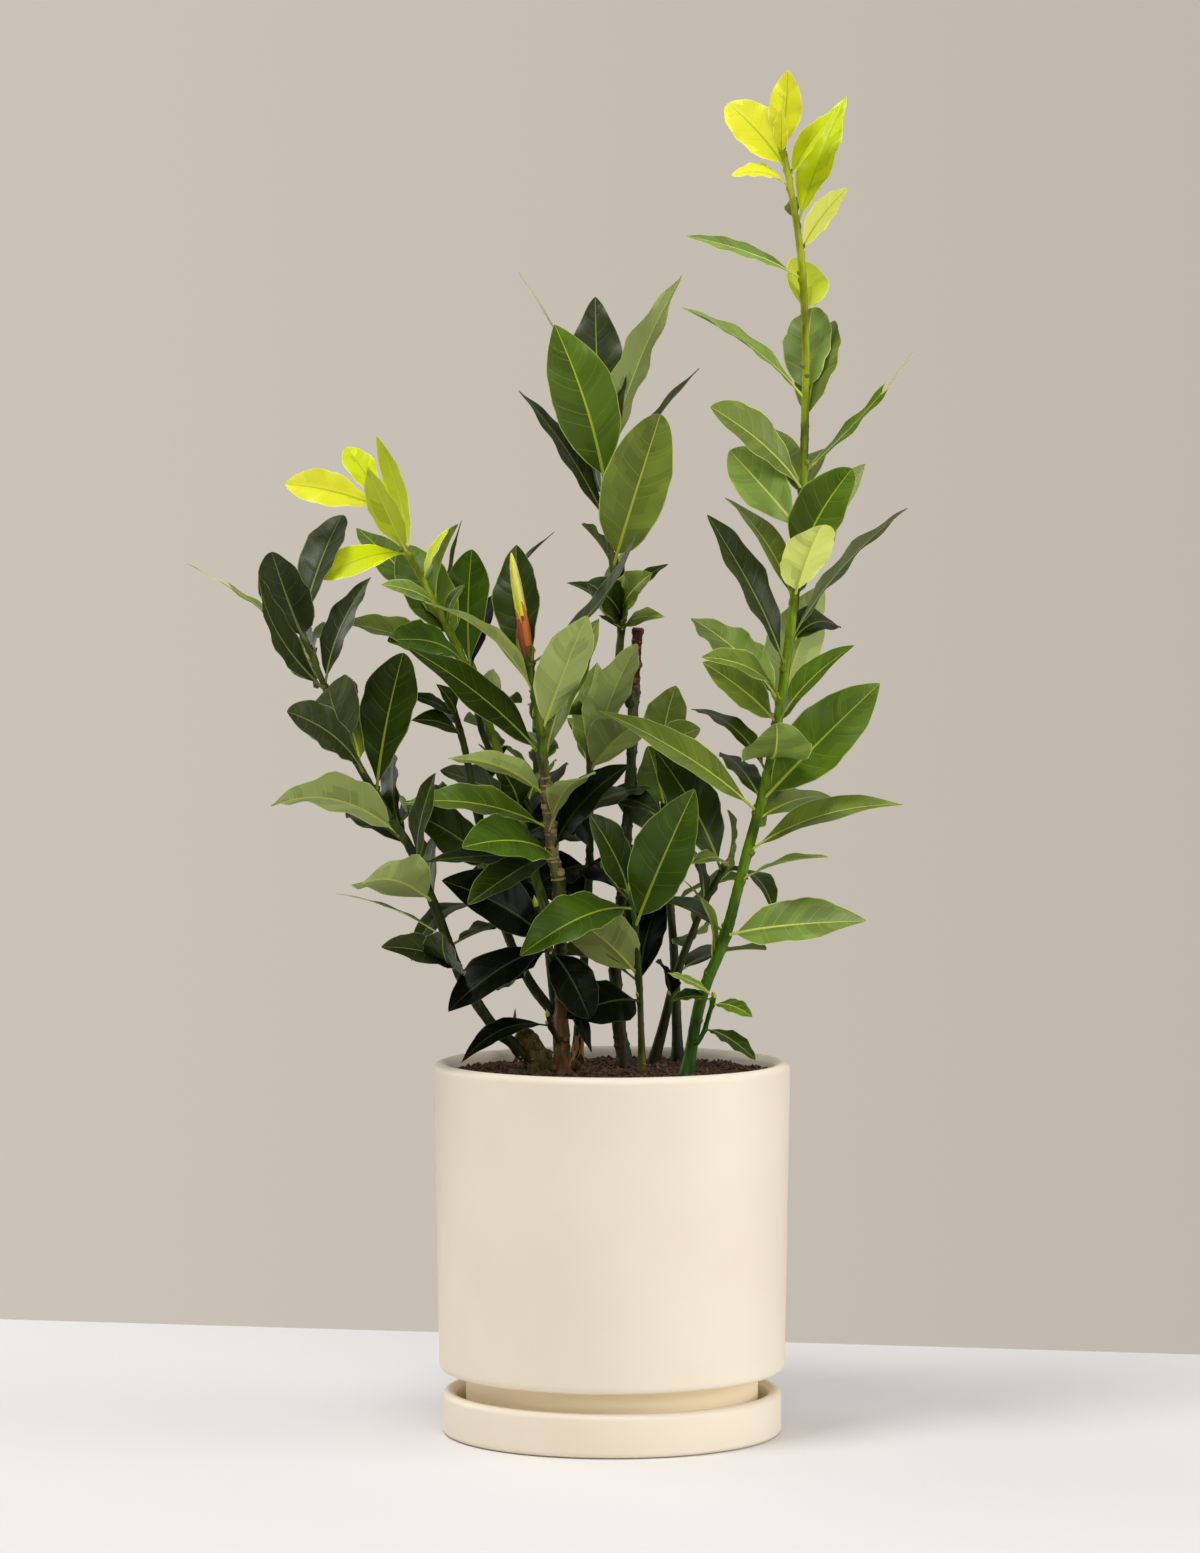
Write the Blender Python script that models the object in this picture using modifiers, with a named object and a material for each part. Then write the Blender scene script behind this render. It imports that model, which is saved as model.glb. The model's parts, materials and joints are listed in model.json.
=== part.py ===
"""A young bay laurel bush with several stems, in a round ceramic pot on its own saucer.

Plan sizes are in millimetres in the tables and turned into metres by MM. X points right, Y points
away from the front, Z points up, and the origin is the middle of the saucer's flat underside.
"""

import math
import random
from collections import namedtuple

import bmesh
import bpy
import numpy as np
from mathutils import Vector
from mathutils.bvhtree import BVHTree

MM = 0.001
GAP = 0.3                    # air between neighbouring solids
TURN_STEPS = 40              # facets round the pot, the saucer and the soil

# Saucer
SAUCER_RADIUS = 90.5
SAUCER_HEIGHT = 23.0
SAUCER_WALL = 7.0
SAUCER_FLOOR = 5.0
SAUCER_ROUNDING = 3.0

# Pot: a straight body over a narrower foot
POT_RIM_RADIUS = 95.0
POT_BODY_RADIUS = 92.3       # at the body's lower edge
POT_TOP = 198.0
POT_BODY_BOTTOM = 33.5
POT_FOOT_RADIUS = 78.0
POT_WALL = 8.0
POT_FLOOR = 9.0
POT_ROUNDING = 2.5
DRAIN_RADIUS = 8.0

# Soil
SOIL_TOP = 192.0
FOOT_LEVEL = SOIL_TOP + GAP  # flat cut under every stem

# Stems and leaves
STEM_STEP = 15.0             # distance between the rings of a stem
STEM_ROUNDNESS = 1           # bevel resolution: six sides
FLARE = 0.45                 # extra radius where a stem enters the soil
FLARE_HEIGHT = 9.0
STRAIGHT_END = 1.6           # straight length on both sides of a gap in a stem
BUD_STATIONS = (-0.12, 0.1, 0.35, 0.7, 1.0)
BUD_WIDTHS = (0.5, 0.8, 1.0, 0.7, 0.2)
BUD_UPTURN = 0.35
LEAF_THICKNESS = 1.5         # along the midrib; the margins are sharp
PETIOLE_WIDTH = 2.4
PETIOLE_SHARE = 0.1          # of the length from the stem's middle
FOLD = 0.16                  # rise of a blade's margins for each unit of half width
CLEARANCE = 0.45             # kept between a leaf and any other mass or limb
DEPTH_NUDGES = (0, 8, -8, 16, -16, 24, -24, 34, -34)
NUDGED_REACH = 112.0         # a leaf isn't nudged to more than this length
OUTER_PART = 0.3             # from this share on, a leaf also keeps clear of its own shoot
FRONT = Vector((0.0, -1.0, 0.0))

# Leaves that a rule adds on the far side of each shoot
BACK_SPREAD = 96.0           # degrees between the outermost directions, low on the shoot
BACK_NARROWING = 0.65        # share of the spread that is lost at the tip
BACK_RISE = (5.0, 50.0)
BACK_LENGTH = (62.0, 88.0)
BACK_TAPER = 0.42            # share of the length that is lost at the tip
BACK_WIDTH = 0.37            # width over length
BACK_TURN = (50.0, 110.0)
BACK_ARCH = (3.0, 8.0)
BACK_START = 8.0             # height over the fork where they begin
BACK_PLACE = (0.2, 0.8)      # where in its step up the stem each one sits
BACK_STRAY = 0.06            # of a full turn
GOLDEN_ANGLE = 137.5
SEED = 41

# The outline of a leaf: skew moves its widest place from the root (under 1) to the tip, a low
# bluntness makes both ends round, and the solid's sections stand at stations along it.
Form = namedtuple("Form", "skew bluntness stations")
OVAL = Form(0.95, 0.78, (0.0, 0.12, 0.42, 0.78))
ROUND = Form(1.0, 0.52, (0.0, 0.14, 0.5, 0.86))
SPOON = Form(1.4, 0.62, (0.0, 0.22, 0.58, 0.87))
LANCE = Form(0.85, 1.0, (0.0, 0.12, 0.4, 0.74))
TAIL = Form(0.62, 1.4, (0.0, 0.12, 0.34, 0.64))

# One leaf: the height of its root, the tip's offset from the root (right, away, up), its width,
# the turn of its upper side (0 faces the front, 90 up the stem, 180 the back), its arch and form.
Leaf = namedtuple("Leaf", "height right away up width turn arch form")

# A leaf in its place: two points and the unit normal of its upper side
Blade = namedtuple("Blade", "root tip width normal arch form")

# One shoot: its foot is on the soil, or on another shoot's side at a height and a heading in
# degrees. route follows the foot, and fork is the height where the bare limb ends and the leafy
# stem starts (None for a shoot that is leafy all the way). radii are at the foot and the tip, and
# bud is the tip bud's length and radius (None for a limb that was cut off and bears no leaves).
Shoot = namedtuple("Shoot", "name parent foot route radii fork bud back_leaves leaves")

TALL = Shoot(
    name="tall", parent=None, foot=(40, -15), fork=238, radii=(3.2, 1.7), bud=(7, 1.6), back_leaves=9,
    route=[(47, -15, 232), (60, -13, 266), (72, -9, 311), (84, -5, 357), (94, 0, 420), (100, 4, 478),
           (103, 6, 556), (101, 6, 620), (93, 5, 672), (90, 4, 682)],
    leaves=[
        Leaf(682, 3, -8, 42, 19, 15, 2, OVAL), Leaf(680, -1, -12, 23, 11, 40, 2, OVAL),
        Leaf(672, -31, -6, 36, 26, 20, 3, ROUND), Leaf(662, -32, -10, 6, 16, 65, 6, OVAL),
        Leaf(667, 25, -8, 37, 18, 52, 2, LANCE), Leaf(642, 27, 14, 71, 23, 35, 3, LANCE),
        Leaf(628, 25, 6, 35, 20, 130, 3, OVAL), Leaf(614, -62, -15, 22, 20, 65, 4, OVAL),
        Leaf(595, -2, 22, 31, 25, 20, 3, ROUND), Leaf(550, -66, -20, 48, 26, 70, 6, OVAL),
        Leaf(551, 5, 36, 50, 28, 20, 4, ROUND), Leaf(536, 17, 22, 58, 28, 40, 6, OVAL),
        Leaf(511, 59, 0, 66, 17, 72, -3, TAIL), Leaf(502, -50, -40, 43, 30, 45, 5, SPOON),
        Leaf(480, -38, -12, 43, 32, 25, 4, SPOON), Leaf(497, 16, 55, 29, 26, 50, 4, OVAL),
        Leaf(458, 28, -28, 55, 31, 30, 5, ROUND), Leaf(440, 40, 35, 77, 30, 135, 4, OVAL),
        Leaf(445, 12, -34, 38, 30, 152, 3, ROUND), Leaf(407, -42, -15, 82, 28, 55, 6, OVAL),
        Leaf(442, -36, 40, 57, 25, 55, 5, OVAL), Leaf(420, 64, 15, 73, 24, 110, 6, LANCE),
        Leaf(378, 26, 36, 74, 36, 155, 4, OVAL), Leaf(376, 40, -25, 44, 25, 60, 6, OVAL),
        Leaf(390, -43, -42, 24, 22, 65, 8, OVAL), Leaf(389, -47, 25, 45, 30, 45, 5, OVAL),
        Leaf(337, 62, -15, 63, 35, 20, 5, OVAL), Leaf(360, 1, -55, 20, 38, 5, 4, ROUND),
        Leaf(351, -40, 40, 34, 24, 70, 8, OVAL), Leaf(337, -20, 50, 24, 20, 50, 4, OVAL),
        Leaf(331, -85, -22, 55, 30, 55, 8, LANCE), Leaf(327, 43, 45, 10, 27, 57, 5, OVAL),
        Leaf(310, 82, -15, 26, 26, 62, 8, LANCE), Leaf(295, 45, -45, 15, 12, 86, 4, LANCE),
        Leaf(266, 73, -35, 10, 32, 42, 6, OVAL), Leaf(378, -40, -10, 33, 26, 40, 5, OVAL),
        Leaf(246, -14, 10, 49, 16, 70, 8, LANCE),
    ])

OLD = Shoot(
    name="old", parent=None, foot=(7, 32), fork=None, radii=(3.2, 2.6), bud=None, back_leaves=0,
    route=[(2, 31, 239), (8, 30, 320), (12, 28, 390), (14, 27, 429)], leaves=[])

CENTRE = Shoot(
    name="centre", parent="old", foot=(388, 235), fork=None, radii=(2.3, 1.5), bud=(6, 1.6), back_leaves=5,
    route=[(4, 16, 410), (5, 10, 435), (0, 8, 465), (-4, 4, 509)],
    leaves=[
        Leaf(503, -27, -22, 86, 37, 12, 4, OVAL), Leaf(507, -5, 20, 99, 33, 15, 4, OVAL),
        Leaf(506, 41, 10, 111, 30, 122, 6, LANCE), Leaf(481, 49, 40, 88, 22, 105, 8, LANCE),
        Leaf(461, 25, -25, 81, 36, 12, 5, ROUND), Leaf(482, -48, -10, 73, 26, 62, 5, LANCE),
        Leaf(501, -47, 30, 119, 9, 75, 8, TAIL), Leaf(430, -18, -45, 23, 22, 45, 5, ROUND),
        Leaf(429, -29, -30, 24, 16, 65, 6, LANCE), Leaf(432, 16, -35, 26, 24, 55, 5, OVAL),
        Leaf(427, 23, -35, 8, 15, 60, 5, LANCE), Leaf(427, -10, -25, 8, 20, 50, 4, OVAL),
        Leaf(430, 25, -5, 33, 18, 60, 7, OVAL),
    ])

TRUNK = Shoot(
    name="trunk", parent=None, foot=(-26, -6), fork=300, radii=(3.9, 2.3), bud=(49, 4.2), back_leaves=6,
    route=[(-27, -8, 232), (-28, -14, 285), (-32, -20, 317), (-38, -34, 378), (-45, -42, 420)],
    leaves=[
        Leaf(407, -8, 30, 66, 28, 25, 4, OVAL), Leaf(410, 56, 10, 70, 22, 72, -8, LANCE),
        Leaf(373, 24, -35, 63, 31, 150, 5, OVAL), Leaf(358, 29, -6, 76, 30, 50, 5, OVAL),
        Leaf(361, -72, -25, 59, 30, 52, 6, LANCE), Leaf(393, -57, -35, 50, 24, 108, 9, LANCE),
        Leaf(340, -51, -50, 22, 26, 118, 7, OVAL), Leaf(325, 19, -50, 27, 26, 130, 8, SPOON),
        Leaf(311, 40, -45, 47, 27, 50, 6, OVAL), Leaf(308, -47, -60, 8, 36, 55, 8, OVAL),
        Leaf(309, -44, -55, -23, 25, 55, 5, OVAL), Leaf(323, -77, -30, 14, 28, 60, 7, LANCE),
        Leaf(305, -69, -28, 1, 24, 62, 5, LANCE),
    ])

# The gnarled stump that is fused to the trunk's foot
STUMP = Shoot(
    name="stump", parent=None, foot=(-38, -7), fork=None, radii=(5.4, 4.6), bud=None, back_leaves=0,
    route=[(-39, -7, 200), (-42, -8, 205), (-46, -7, 212)], leaves=[])

LEFT = Shoot(
    name="left", parent="stump", foot=(205, 200), fork=240, radii=(3.2, 1.6), bud=(8, 1.7), back_leaves=9,
    route=[(-53, -14, 209), (-61, -18, 216), (-72, -24, 232), (-81, -26, 248), (-93, -26, 281),
           (-107, -26, 314), (-119, -27, 332), (-138, -30, 366), (-153, -32, 403), (-165, -34, 432)],
    leaves=[
        Leaf(422, -16, -28, 47, 29, 20, 4, ROUND), Leaf(396, -32, -45, 63, 26, 60, -7, OVAL),
        Leaf(428, 20, 35, 61, 26, 40, 4, SPOON), Leaf(398, 24, 10, 58, 24, 50, 5, OVAL),
        Leaf(409, -67, -15, 54, 14, 80, 6, TAIL), Leaf(365, -9, -55, 34, 37, 155, 4, ROUND),
        Leaf(352, -36, -40, 35, 26, 52, 5, SPOON), Leaf(341, 14, 10, 75, 34, 22, 4, SPOON),
        Leaf(317, -7, 35, 45, 25, 60, 5, OVAL), Leaf(318, -67, -40, 19, 34, 132, 16, ROUND),
        Leaf(313, -34, 45, 18, 26, 50, 5, OVAL), Leaf(284, -35, -60, 14, 36, 140, 7, ROUND),
        Leaf(265, -57, -30, 26, 9, 86, 4, TAIL), Leaf(248, -39, -45, 16, 22, 62, 6, OVAL),
        Leaf(250, -6, -55, 22, 26, 40, 5, ROUND), Leaf(303, 10, -15, 51, 20, 60, 5, OVAL),
        Leaf(400, -11, 20, 29, 26, 45, 4, OVAL),
    ])

LIME = Shoot(
    name="lime", parent="trunk", foot=(268, 130), fork=326, radii=(3.0, 1.5), bud=(5, 1.4), back_leaves=5,
    route=[(-39, 10, 290), (-52, 18, 337), (-71, 20, 390), (-87, 14, 427), (-101, 8, 454), (-125, 0, 498)],
    leaves=[
        Leaf(492, -51, -15, 13, 21, 25, 4, SPOON), Leaf(494, -19, 8, 31, 17, 30, 3, SPOON),
        Leaf(468, -20, -12, 46, 20, 35, 3, OVAL), Leaf(467, -17, -6, 64, 14, 35, -5, OVAL),
        Leaf(468, -44, -30, -13, 20, 38, 6, SPOON), Leaf(453, 14, -10, 29, 7, 50, 3, OVAL),
        Leaf(441, -28, -30, 11, 13, 50, 4, OVAL), Leaf(429, 10, -20, 23, 10, 50, 3, OVAL),
        Leaf(408, -68, -20, 24, 28, 60, 6, OVAL), Leaf(407, -41, -28, 15, 26, 55, 9, SPOON),
        Leaf(420, -28, 28, 53, 30, 25, 4, ROUND), Leaf(427, -52, 40, 56, 28, 45, 5, OVAL),
        Leaf(330, -12, -5, 26, 26, 45, 4, OVAL), Leaf(329, -43, -15, 23, 24, 125, 6, OVAL),
    ])

INNER = Shoot(
    name="inner", parent="trunk", foot=(222, 120), fork=262, radii=(2.9, 1.7), bud=(7, 1.6), back_leaves=5,
    route=[(-44, 8, 240), (-57, 18, 267), (-65, 22, 299), (-73, 24, 331), (-79, 24, 364), (-85, 22, 386)],
    leaves=[
        Leaf(381, -26, -25, 12, 13, 60, 3, LANCE), Leaf(371, -26, -30, 9, 16, 55, 4, LANCE),
        Leaf(382, -10, -12, 17, 12, 50, 3, LANCE), Leaf(300, -43, -35, 32, 28, 40, 6, OVAL),
        Leaf(275, -47, -40, -22, 20, 72, 16, OVAL),
    ])

UPPER_LEFT = Shoot(
    name="upper_left", parent="trunk", foot=(289, 70), fork=None, radii=(2.2, 1.5), bud=(5, 1.4),
    back_leaves=5,
    route=[(-28, 21, 297), (-44, 34, 332), (-67, 40, 365), (-74, 42, 390), (-77, 42, 411)],
    leaves=[
        Leaf(405, 1, -10, 66, 26, 20, 2, SPOON), Leaf(407, -5, 15, 80, 16, 100, 9, LANCE),
        Leaf(405, 14, 15, 43, 24, 50, 5, OVAL), Leaf(398, 17, -35, -11, 28, 130, 5, OVAL),
        Leaf(405, 45, 20, 76, 16, 72, 8, LANCE),
    ])

LOW = Shoot(
    name="low", parent="trunk", foot=(250, 245), fork=None, radii=(2.0, 1.4), bud=(6, 1.6), back_leaves=0,
    route=[(-34, -25, 262), (-40, -32, 283)],
    leaves=[
        Leaf(261, -52, -30, -32, 28, 45, 6, OVAL), Leaf(259, -28, -20, -21, 26, 55, 6, OVAL),
        Leaf(265, -54, -35, 33, 34, 35, 5, OVAL), Leaf(259, 21, -14, -35, 25, 20, 5, ROUND),
        Leaf(256, 21, -4, -51, 16, 55, 3, OVAL), Leaf(272, -34, 26, 20, 28, 40, 5, OVAL),
    ])

YOUNG = Shoot(
    name="young", parent=None, foot=(16, 6), fork=226, radii=(1.8, 1.4), bud=(12, 2.2), back_leaves=3,
    route=[(15, 2, 231), (12, -6, 274), (8, -10, 290)],
    leaves=[
        Leaf(270, 31, -35, 75, 35, 15, 5, OVAL), Leaf(287, -21, -35, 45, 28, 50, 4, OVAL),
        Leaf(280, -59, -45, -22, 31, 45, 12, OVAL), Leaf(243, -36, -40, 32, 38, 145, 6, ROUND),
        Leaf(237, 12, 25, 47, 27, 30, 5, OVAL), Leaf(230, -39, -30, -6, 32, 40, 6, OVAL),
    ])

RIGHT = Shoot(
    name="right", parent=None, foot=(23, 48), fork=220, radii=(2.7, 1.6), bud=(6, 1.6), back_leaves=4,
    route=[(28, 46, 213), (36, 42, 244), (51, 36, 282), (61, 32, 300)],
    leaves=[
        Leaf(297, -36, -10, 66, 32, 35, 6, OVAL), Leaf(264, 18, 30, 32, 16, 60, 4, LANCE),
        Leaf(227, -8, -30, 23, 16, 120, 5, LANCE), Leaf(300, -19, -45, 4, 14, 70, 6, LANCE),
        Leaf(298, 26, -45, -21, 18, 72, 9, LANCE),
    ])

MIDDLE = Shoot(
    name="middle", parent=None, foot=(-19, 50), fork=296, radii=(2.8, 1.6), bud=(6, 1.6), back_leaves=5,
    route=[(-15, 46, 249), (-12, 38, 303), (-12, 30, 347), (-12, 28, 366)],
    leaves=[
        Leaf(355, 25, -29, 66, 28, 140, 4, OVAL), Leaf(351, 27, -40, 28, 30, 150, 4, OVAL),
        Leaf(353, 4, 16, 57, 26, 45, 5, OVAL), Leaf(332, 37, -25, -2, 24, 72, 6, OVAL),
        Leaf(309, -19, -20, 27, 26, 60, 5, OVAL), Leaf(303, 24, -20, -14, 30, 35, 5, OVAL),
        Leaf(300, -30, -12, -12, 28, 40, 5, OVAL), Leaf(325, -34, -14, -6, 28, 40, 5, OVAL),
    ])

BACK_RIGHT = Shoot(
    name="back_right", parent=None, foot=(36, 60), fork=262, radii=(2.8, 1.6), bud=(6, 1.6), back_leaves=8,
    route=[(34, 66, 250), (29, 70, 310), (28, 72, 358)],
    leaves=[
        Leaf(355, 7, 0, 42, 26, 25, 4, OVAL), Leaf(353, 20, -12, 21, 22, 50, 8, SPOON),
        Leaf(332, -9, -8, 33, 28, 20, 3, OVAL), Leaf(300, -34, -30, -8, 30, 30, 5, OVAL),
        Leaf(280, -30, -26, -24, 28, 40, 5, OVAL), Leaf(320, -30, -30, 20, 28, 35, 5, OVAL),
    ])

BACK_LEFT = Shoot(
    name="back_left", parent=None, foot=(-28, 56), fork=262, radii=(2.8, 1.6), bud=(6, 1.6), back_leaves=9,
    route=[(-34, 66, 250), (-40, 74, 315), (-42, 78, 380)],
    leaves=[
        Leaf(300, -36, -32, -10, 30, 35, 5, OVAL), Leaf(285, -40, -36, 10, 28, 40, 5, OVAL),
        Leaf(315, -34, -34, 24, 28, 35, 5, OVAL), Leaf(330, 30, -30, -16, 30, 30, 5, OVAL),
        Leaf(290, 26, -28, -16, 28, 40, 5, OVAL),
    ])

# Two short sprouts close to the soil
SPROUT_LEFT = Shoot(
    name="sprout_left", parent="trunk", foot=(211, 250), fork=None, radii=(1.5, 1.2), bud=(4, 1.3),
    back_leaves=0,
    route=[(-32, -15, 217), (-34, -19, 224)],
    leaves=[
        Leaf(218, -47, -25, -17, 16, 55, 9, LANCE),
    ])

SPROUT_RIGHT = Shoot(
    name="sprout_right", parent="tall", foot=(210, 300), fork=None, radii=(1.4, 1.1), bud=(3, 1.2),
    back_leaves=0,
    route=[(49, -20, 217), (54, -21, 234)],
    leaves=[
        Leaf(230, 21, -10, -6, 14, 60, 3, OVAL), Leaf(217, 27, -15, -15, 15, 62, 4, OVAL),
        Leaf(234, -25, -14, 14, 8, 60, 2, LANCE), Leaf(232, -22, -10, 1, 14, 70, 3, OVAL),
    ])

SHOOTS = (TALL, OLD, CENTRE, TRUNK, STUMP, LEFT, LIME, INNER, UPPER_LEFT, LOW, YOUNG, RIGHT, MIDDLE,
          BACK_RIGHT, BACK_LEFT, SPROUT_LEFT, SPROUT_RIGHT)

GREEN_STEMS = ("tall", "young", "lime")
YOUNG_LEAVED = ("lime",)


# ---------------------------------------------------------------- scene, materials, plain solids

def clear_scene():
    for item in list(bpy.data.objects):
        bpy.data.objects.remove(item, do_unlink=True)


def new_collection(name):
    group = bpy.data.collections.new(name)
    bpy.context.scene.collection.children.link(group)
    return group


def make_material(name, colour, roughness):
    material = bpy.data.materials.new(name)
    material.use_nodes = True
    shader = material.node_tree.nodes["Principled BSDF"]
    shader.inputs["Base Color"].default_value = (*colour, 1.0)
    shader.inputs["Roughness"].default_value = roughness
    shader.inputs["Metallic"].default_value = 0.0
    material.diffuse_color = (*colour, 1.0)
    return material


def turned_solid(name, profile, collection, material):
    """A closed (radius, height) profile in millimetres, turned round the upright axis."""
    bm = bmesh.new()
    verts = [bm.verts.new((radius * MM, 0.0, height * MM)) for radius, height in profile]
    for start, end in zip(verts, verts[1:] + verts[:1]):
        if start.co.x > 0.0 or end.co.x > 0.0:
            bm.edges.new((start, end))
    mesh = bpy.data.meshes.new(name)
    bm.to_mesh(mesh)
    bm.free()
    solid = bpy.data.objects.new(name, mesh)
    collection.objects.link(solid)
    screw = solid.modifiers.new("Turn", "SCREW")
    screw.steps = TURN_STEPS
    screw.render_steps = TURN_STEPS
    screw.use_merge_vertices = True
    screw.merge_threshold = 0.01 * MM
    screw.use_smooth_shade = True
    mesh.materials.append(material)
    return solid


def arc(centre, radius, start, end, steps):
    """Points on a round edge, from the angle start to the angle end in degrees."""
    angles = np.radians(np.linspace(start, end, steps + 1))
    return [(centre[0] + radius * math.cos(a), centre[1] + radius * math.sin(a)) for a in angles]


def make_saucer(collection, material):
    inner = SAUCER_RADIUS - SAUCER_WALL
    lip = SAUCER_WALL / 2
    profile = [(0.0, SAUCER_FLOOR), (inner - SAUCER_ROUNDING, SAUCER_FLOOR)]
    profile.append((inner, SAUCER_FLOOR + SAUCER_ROUNDING))
    profile += arc((inner + lip, SAUCER_HEIGHT - lip), lip, 180, 0, 4)
    edge = SAUCER_RADIUS - SAUCER_ROUNDING
    profile += arc((edge, SAUCER_ROUNDING), SAUCER_ROUNDING, 0, -90, 2)
    profile.append((0.0, 0.0))
    return turned_solid("saucer", profile, collection, material)


def pot_cavity(gap):
    """The inside of the pot from the drain hole up, drawn in by gap, without its top."""
    floor = SAUCER_FLOOR + GAP + POT_FLOOR + gap
    well = POT_FOOT_RADIUS - POT_WALL - gap
    shoulder = POT_BODY_BOTTOM + POT_WALL + gap
    wide = POT_BODY_RADIUS - POT_WALL - gap
    return [(well, floor), (well, shoulder - POT_WALL / 2), (wide, shoulder + POT_WALL / 2)]


def make_pot(collection, material):
    bottom = SAUCER_FLOOR + GAP
    lip = POT_WALL / 2
    profile = [(DRAIN_RADIUS, bottom), (DRAIN_RADIUS, bottom + POT_FLOOR)] + pot_cavity(0.0)
    profile += arc((POT_RIM_RADIUS - lip, POT_TOP - lip), lip, 180, 0, 4)
    lower = POT_BODY_RADIUS - POT_ROUNDING
    profile += arc((lower, POT_BODY_BOTTOM + POT_ROUNDING), POT_ROUNDING, 0, -90, 2)
    profile += [(POT_FOOT_RADIUS, POT_BODY_BOTTOM), (POT_FOOT_RADIUS, bottom)]
    return turned_solid("pot", profile, collection, material)


def make_soil(collection, material):
    rim_inner = POT_RIM_RADIUS - POT_WALL
    body_inner = POT_BODY_RADIUS - POT_WALL
    slope = (rim_inner - body_inner) / (POT_TOP - POT_BODY_BOTTOM)
    top_radius = body_inner + slope * (SOIL_TOP - POT_BODY_BOTTOM - 2 * POT_WALL) - GAP
    walls = pot_cavity(GAP)
    profile = [(0.0, walls[0][1])] + walls + [(top_radius, SOIL_TOP), (0.0, SOIL_TOP)]
    return turned_solid("soil", profile[::-1], collection, material)


# ---------------------------------------------------------------- stems

def smooth_line(points):
    """A Catmull-Rom curve through the points, with a ring about every STEM_STEP."""
    points = np.array(points, dtype=float)
    padded = np.vstack([2 * points[0] - points[1], points, 2 * points[-1] - points[-2]])
    dense = []
    for a, b, c, d in zip(padded, padded[1:], padded[2:], padded[3:]):
        for t in np.linspace(0.0, 1.0, 24, endpoint=False):
            dense.append(0.5 * (2 * b + (c - a) * t + (2 * a - 5 * b + 4 * c - d) * t**2
                                + (3 * b - a - 3 * c + d) * t**3))
    dense = np.array(dense + [points[-1]])
    lengths = np.concatenate([[0.0], np.cumsum(np.linalg.norm(np.diff(dense, axis=0), axis=1))])
    count = max(3, int(round(lengths[-1] / STEM_STEP)) + 1)
    stations = np.linspace(0.0, lengths[-1], count)
    return np.column_stack([np.interp(stations, lengths, dense[:, axis]) for axis in range(3)])


def stem_radii(line, radii, flare):
    lengths = np.concatenate([[0.0], np.cumsum(np.linalg.norm(np.diff(line, axis=0), axis=1))])
    taper = radii[0] + (radii[1] - radii[0]) * lengths / lengths[-1]
    if flare:
        taper = taper * (1.0 + FLARE * np.exp(-lengths / FLARE_HEIGHT))
    return taper


def point_at_height(line, height):
    """Where a stem that climbs passes a height, its direction there and the ring before it."""
    index = int(np.clip(np.searchsorted(line[:, 2], height) - 1, 0, len(line) - 2))
    low, high = line[index], line[index + 1]
    share = float(np.clip((height - low[2]) / (high[2] - low[2]), 0.0, 1.0))
    step = (high - low) / np.linalg.norm(high - low)
    return low + share * (high - low), step, index


def whole_stem(shoot, built):
    """Centre line and radii of a shoot from its foot to its tip."""
    if shoot.parent is None:
        x, y = shoot.foot
        start = [(x, y, FOOT_LEVEL), (x, y, FOOT_LEVEL + STRAIGHT_END)]
    else:
        line, radii = built[shoot.parent]
        height, heading = shoot.foot
        point, step, index = point_at_height(line, height)
        outward = np.array([math.cos(math.radians(heading)), math.sin(math.radians(heading)), 0.0])
        outward -= step * outward.dot(step)
        outward /= np.linalg.norm(outward)
        on_surface = point + outward * (radii[index] + GAP)
        start = [tuple(on_surface), tuple(on_surface + outward * STRAIGHT_END)]
    curve = smooth_line(start[1:] + shoot.route)
    line = np.vstack([start[0], curve])
    return line, stem_radii(line, shoot.radii, flare=shoot.parent is None)


def split_stem(line, radii, height):
    """Cut a stem square across at a height, with a gap between two short straight ends."""
    point, step, index = point_at_height(line, height)
    radius = float(np.interp(height, line[index:index + 2, 2], radii[index:index + 2]))
    keep_below = [i for i in range(index + 1) if np.linalg.norm(line[i] - point) > 2.5 * STRAIGHT_END]
    keep_above = [i for i in range(index + 1, len(line))
                  if np.linalg.norm(line[i] - point) > 2.5 * STRAIGHT_END]
    below_end = [point - step * (GAP / 2 + STRAIGHT_END), point - step * GAP / 2]
    above_end = [point + step * GAP / 2, point + step * (GAP / 2 + STRAIGHT_END)]
    below = np.vstack([line[keep_below], below_end]), np.append(radii[keep_below], [radius, radius])
    above = np.vstack([above_end, line[keep_above]]), np.append([radius, radius], radii[keep_above])
    return below, above


def tube(name, line, radii, collection):
    """A closed tapering tube as a mesh, made from a bevelled curve."""
    curve = bpy.data.curves.new(name, "CURVE")
    curve.dimensions = "3D"
    curve.bevel_depth = MM
    curve.bevel_resolution = STEM_ROUNDNESS
    curve.use_fill_caps = True
    spline = curve.splines.new("POLY")
    spline.points.add(len(line) - 1)
    for point, place, radius in zip(spline.points, line, radii):
        point.co = (*(place * MM), 1.0)
        point.radius = radius
    guide = bpy.data.objects.new(name, curve)
    collection.objects.link(guide)
    depsgraph = bpy.context.evaluated_depsgraph_get()
    mesh = bpy.data.meshes.new_from_object(guide.evaluated_get(depsgraph))
    bpy.data.objects.remove(guide)
    bm = bmesh.new()
    bm.from_mesh(mesh)
    bmesh.ops.remove_doubles(bm, verts=bm.verts, dist=0.01 * MM)
    bmesh.ops.recalc_face_normals(bm, faces=bm.faces)
    bm.to_mesh(mesh)
    bm.free()
    mesh.name = name
    solid = bpy.data.objects.new(name, mesh)
    collection.objects.link(solid)
    return solid


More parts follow.
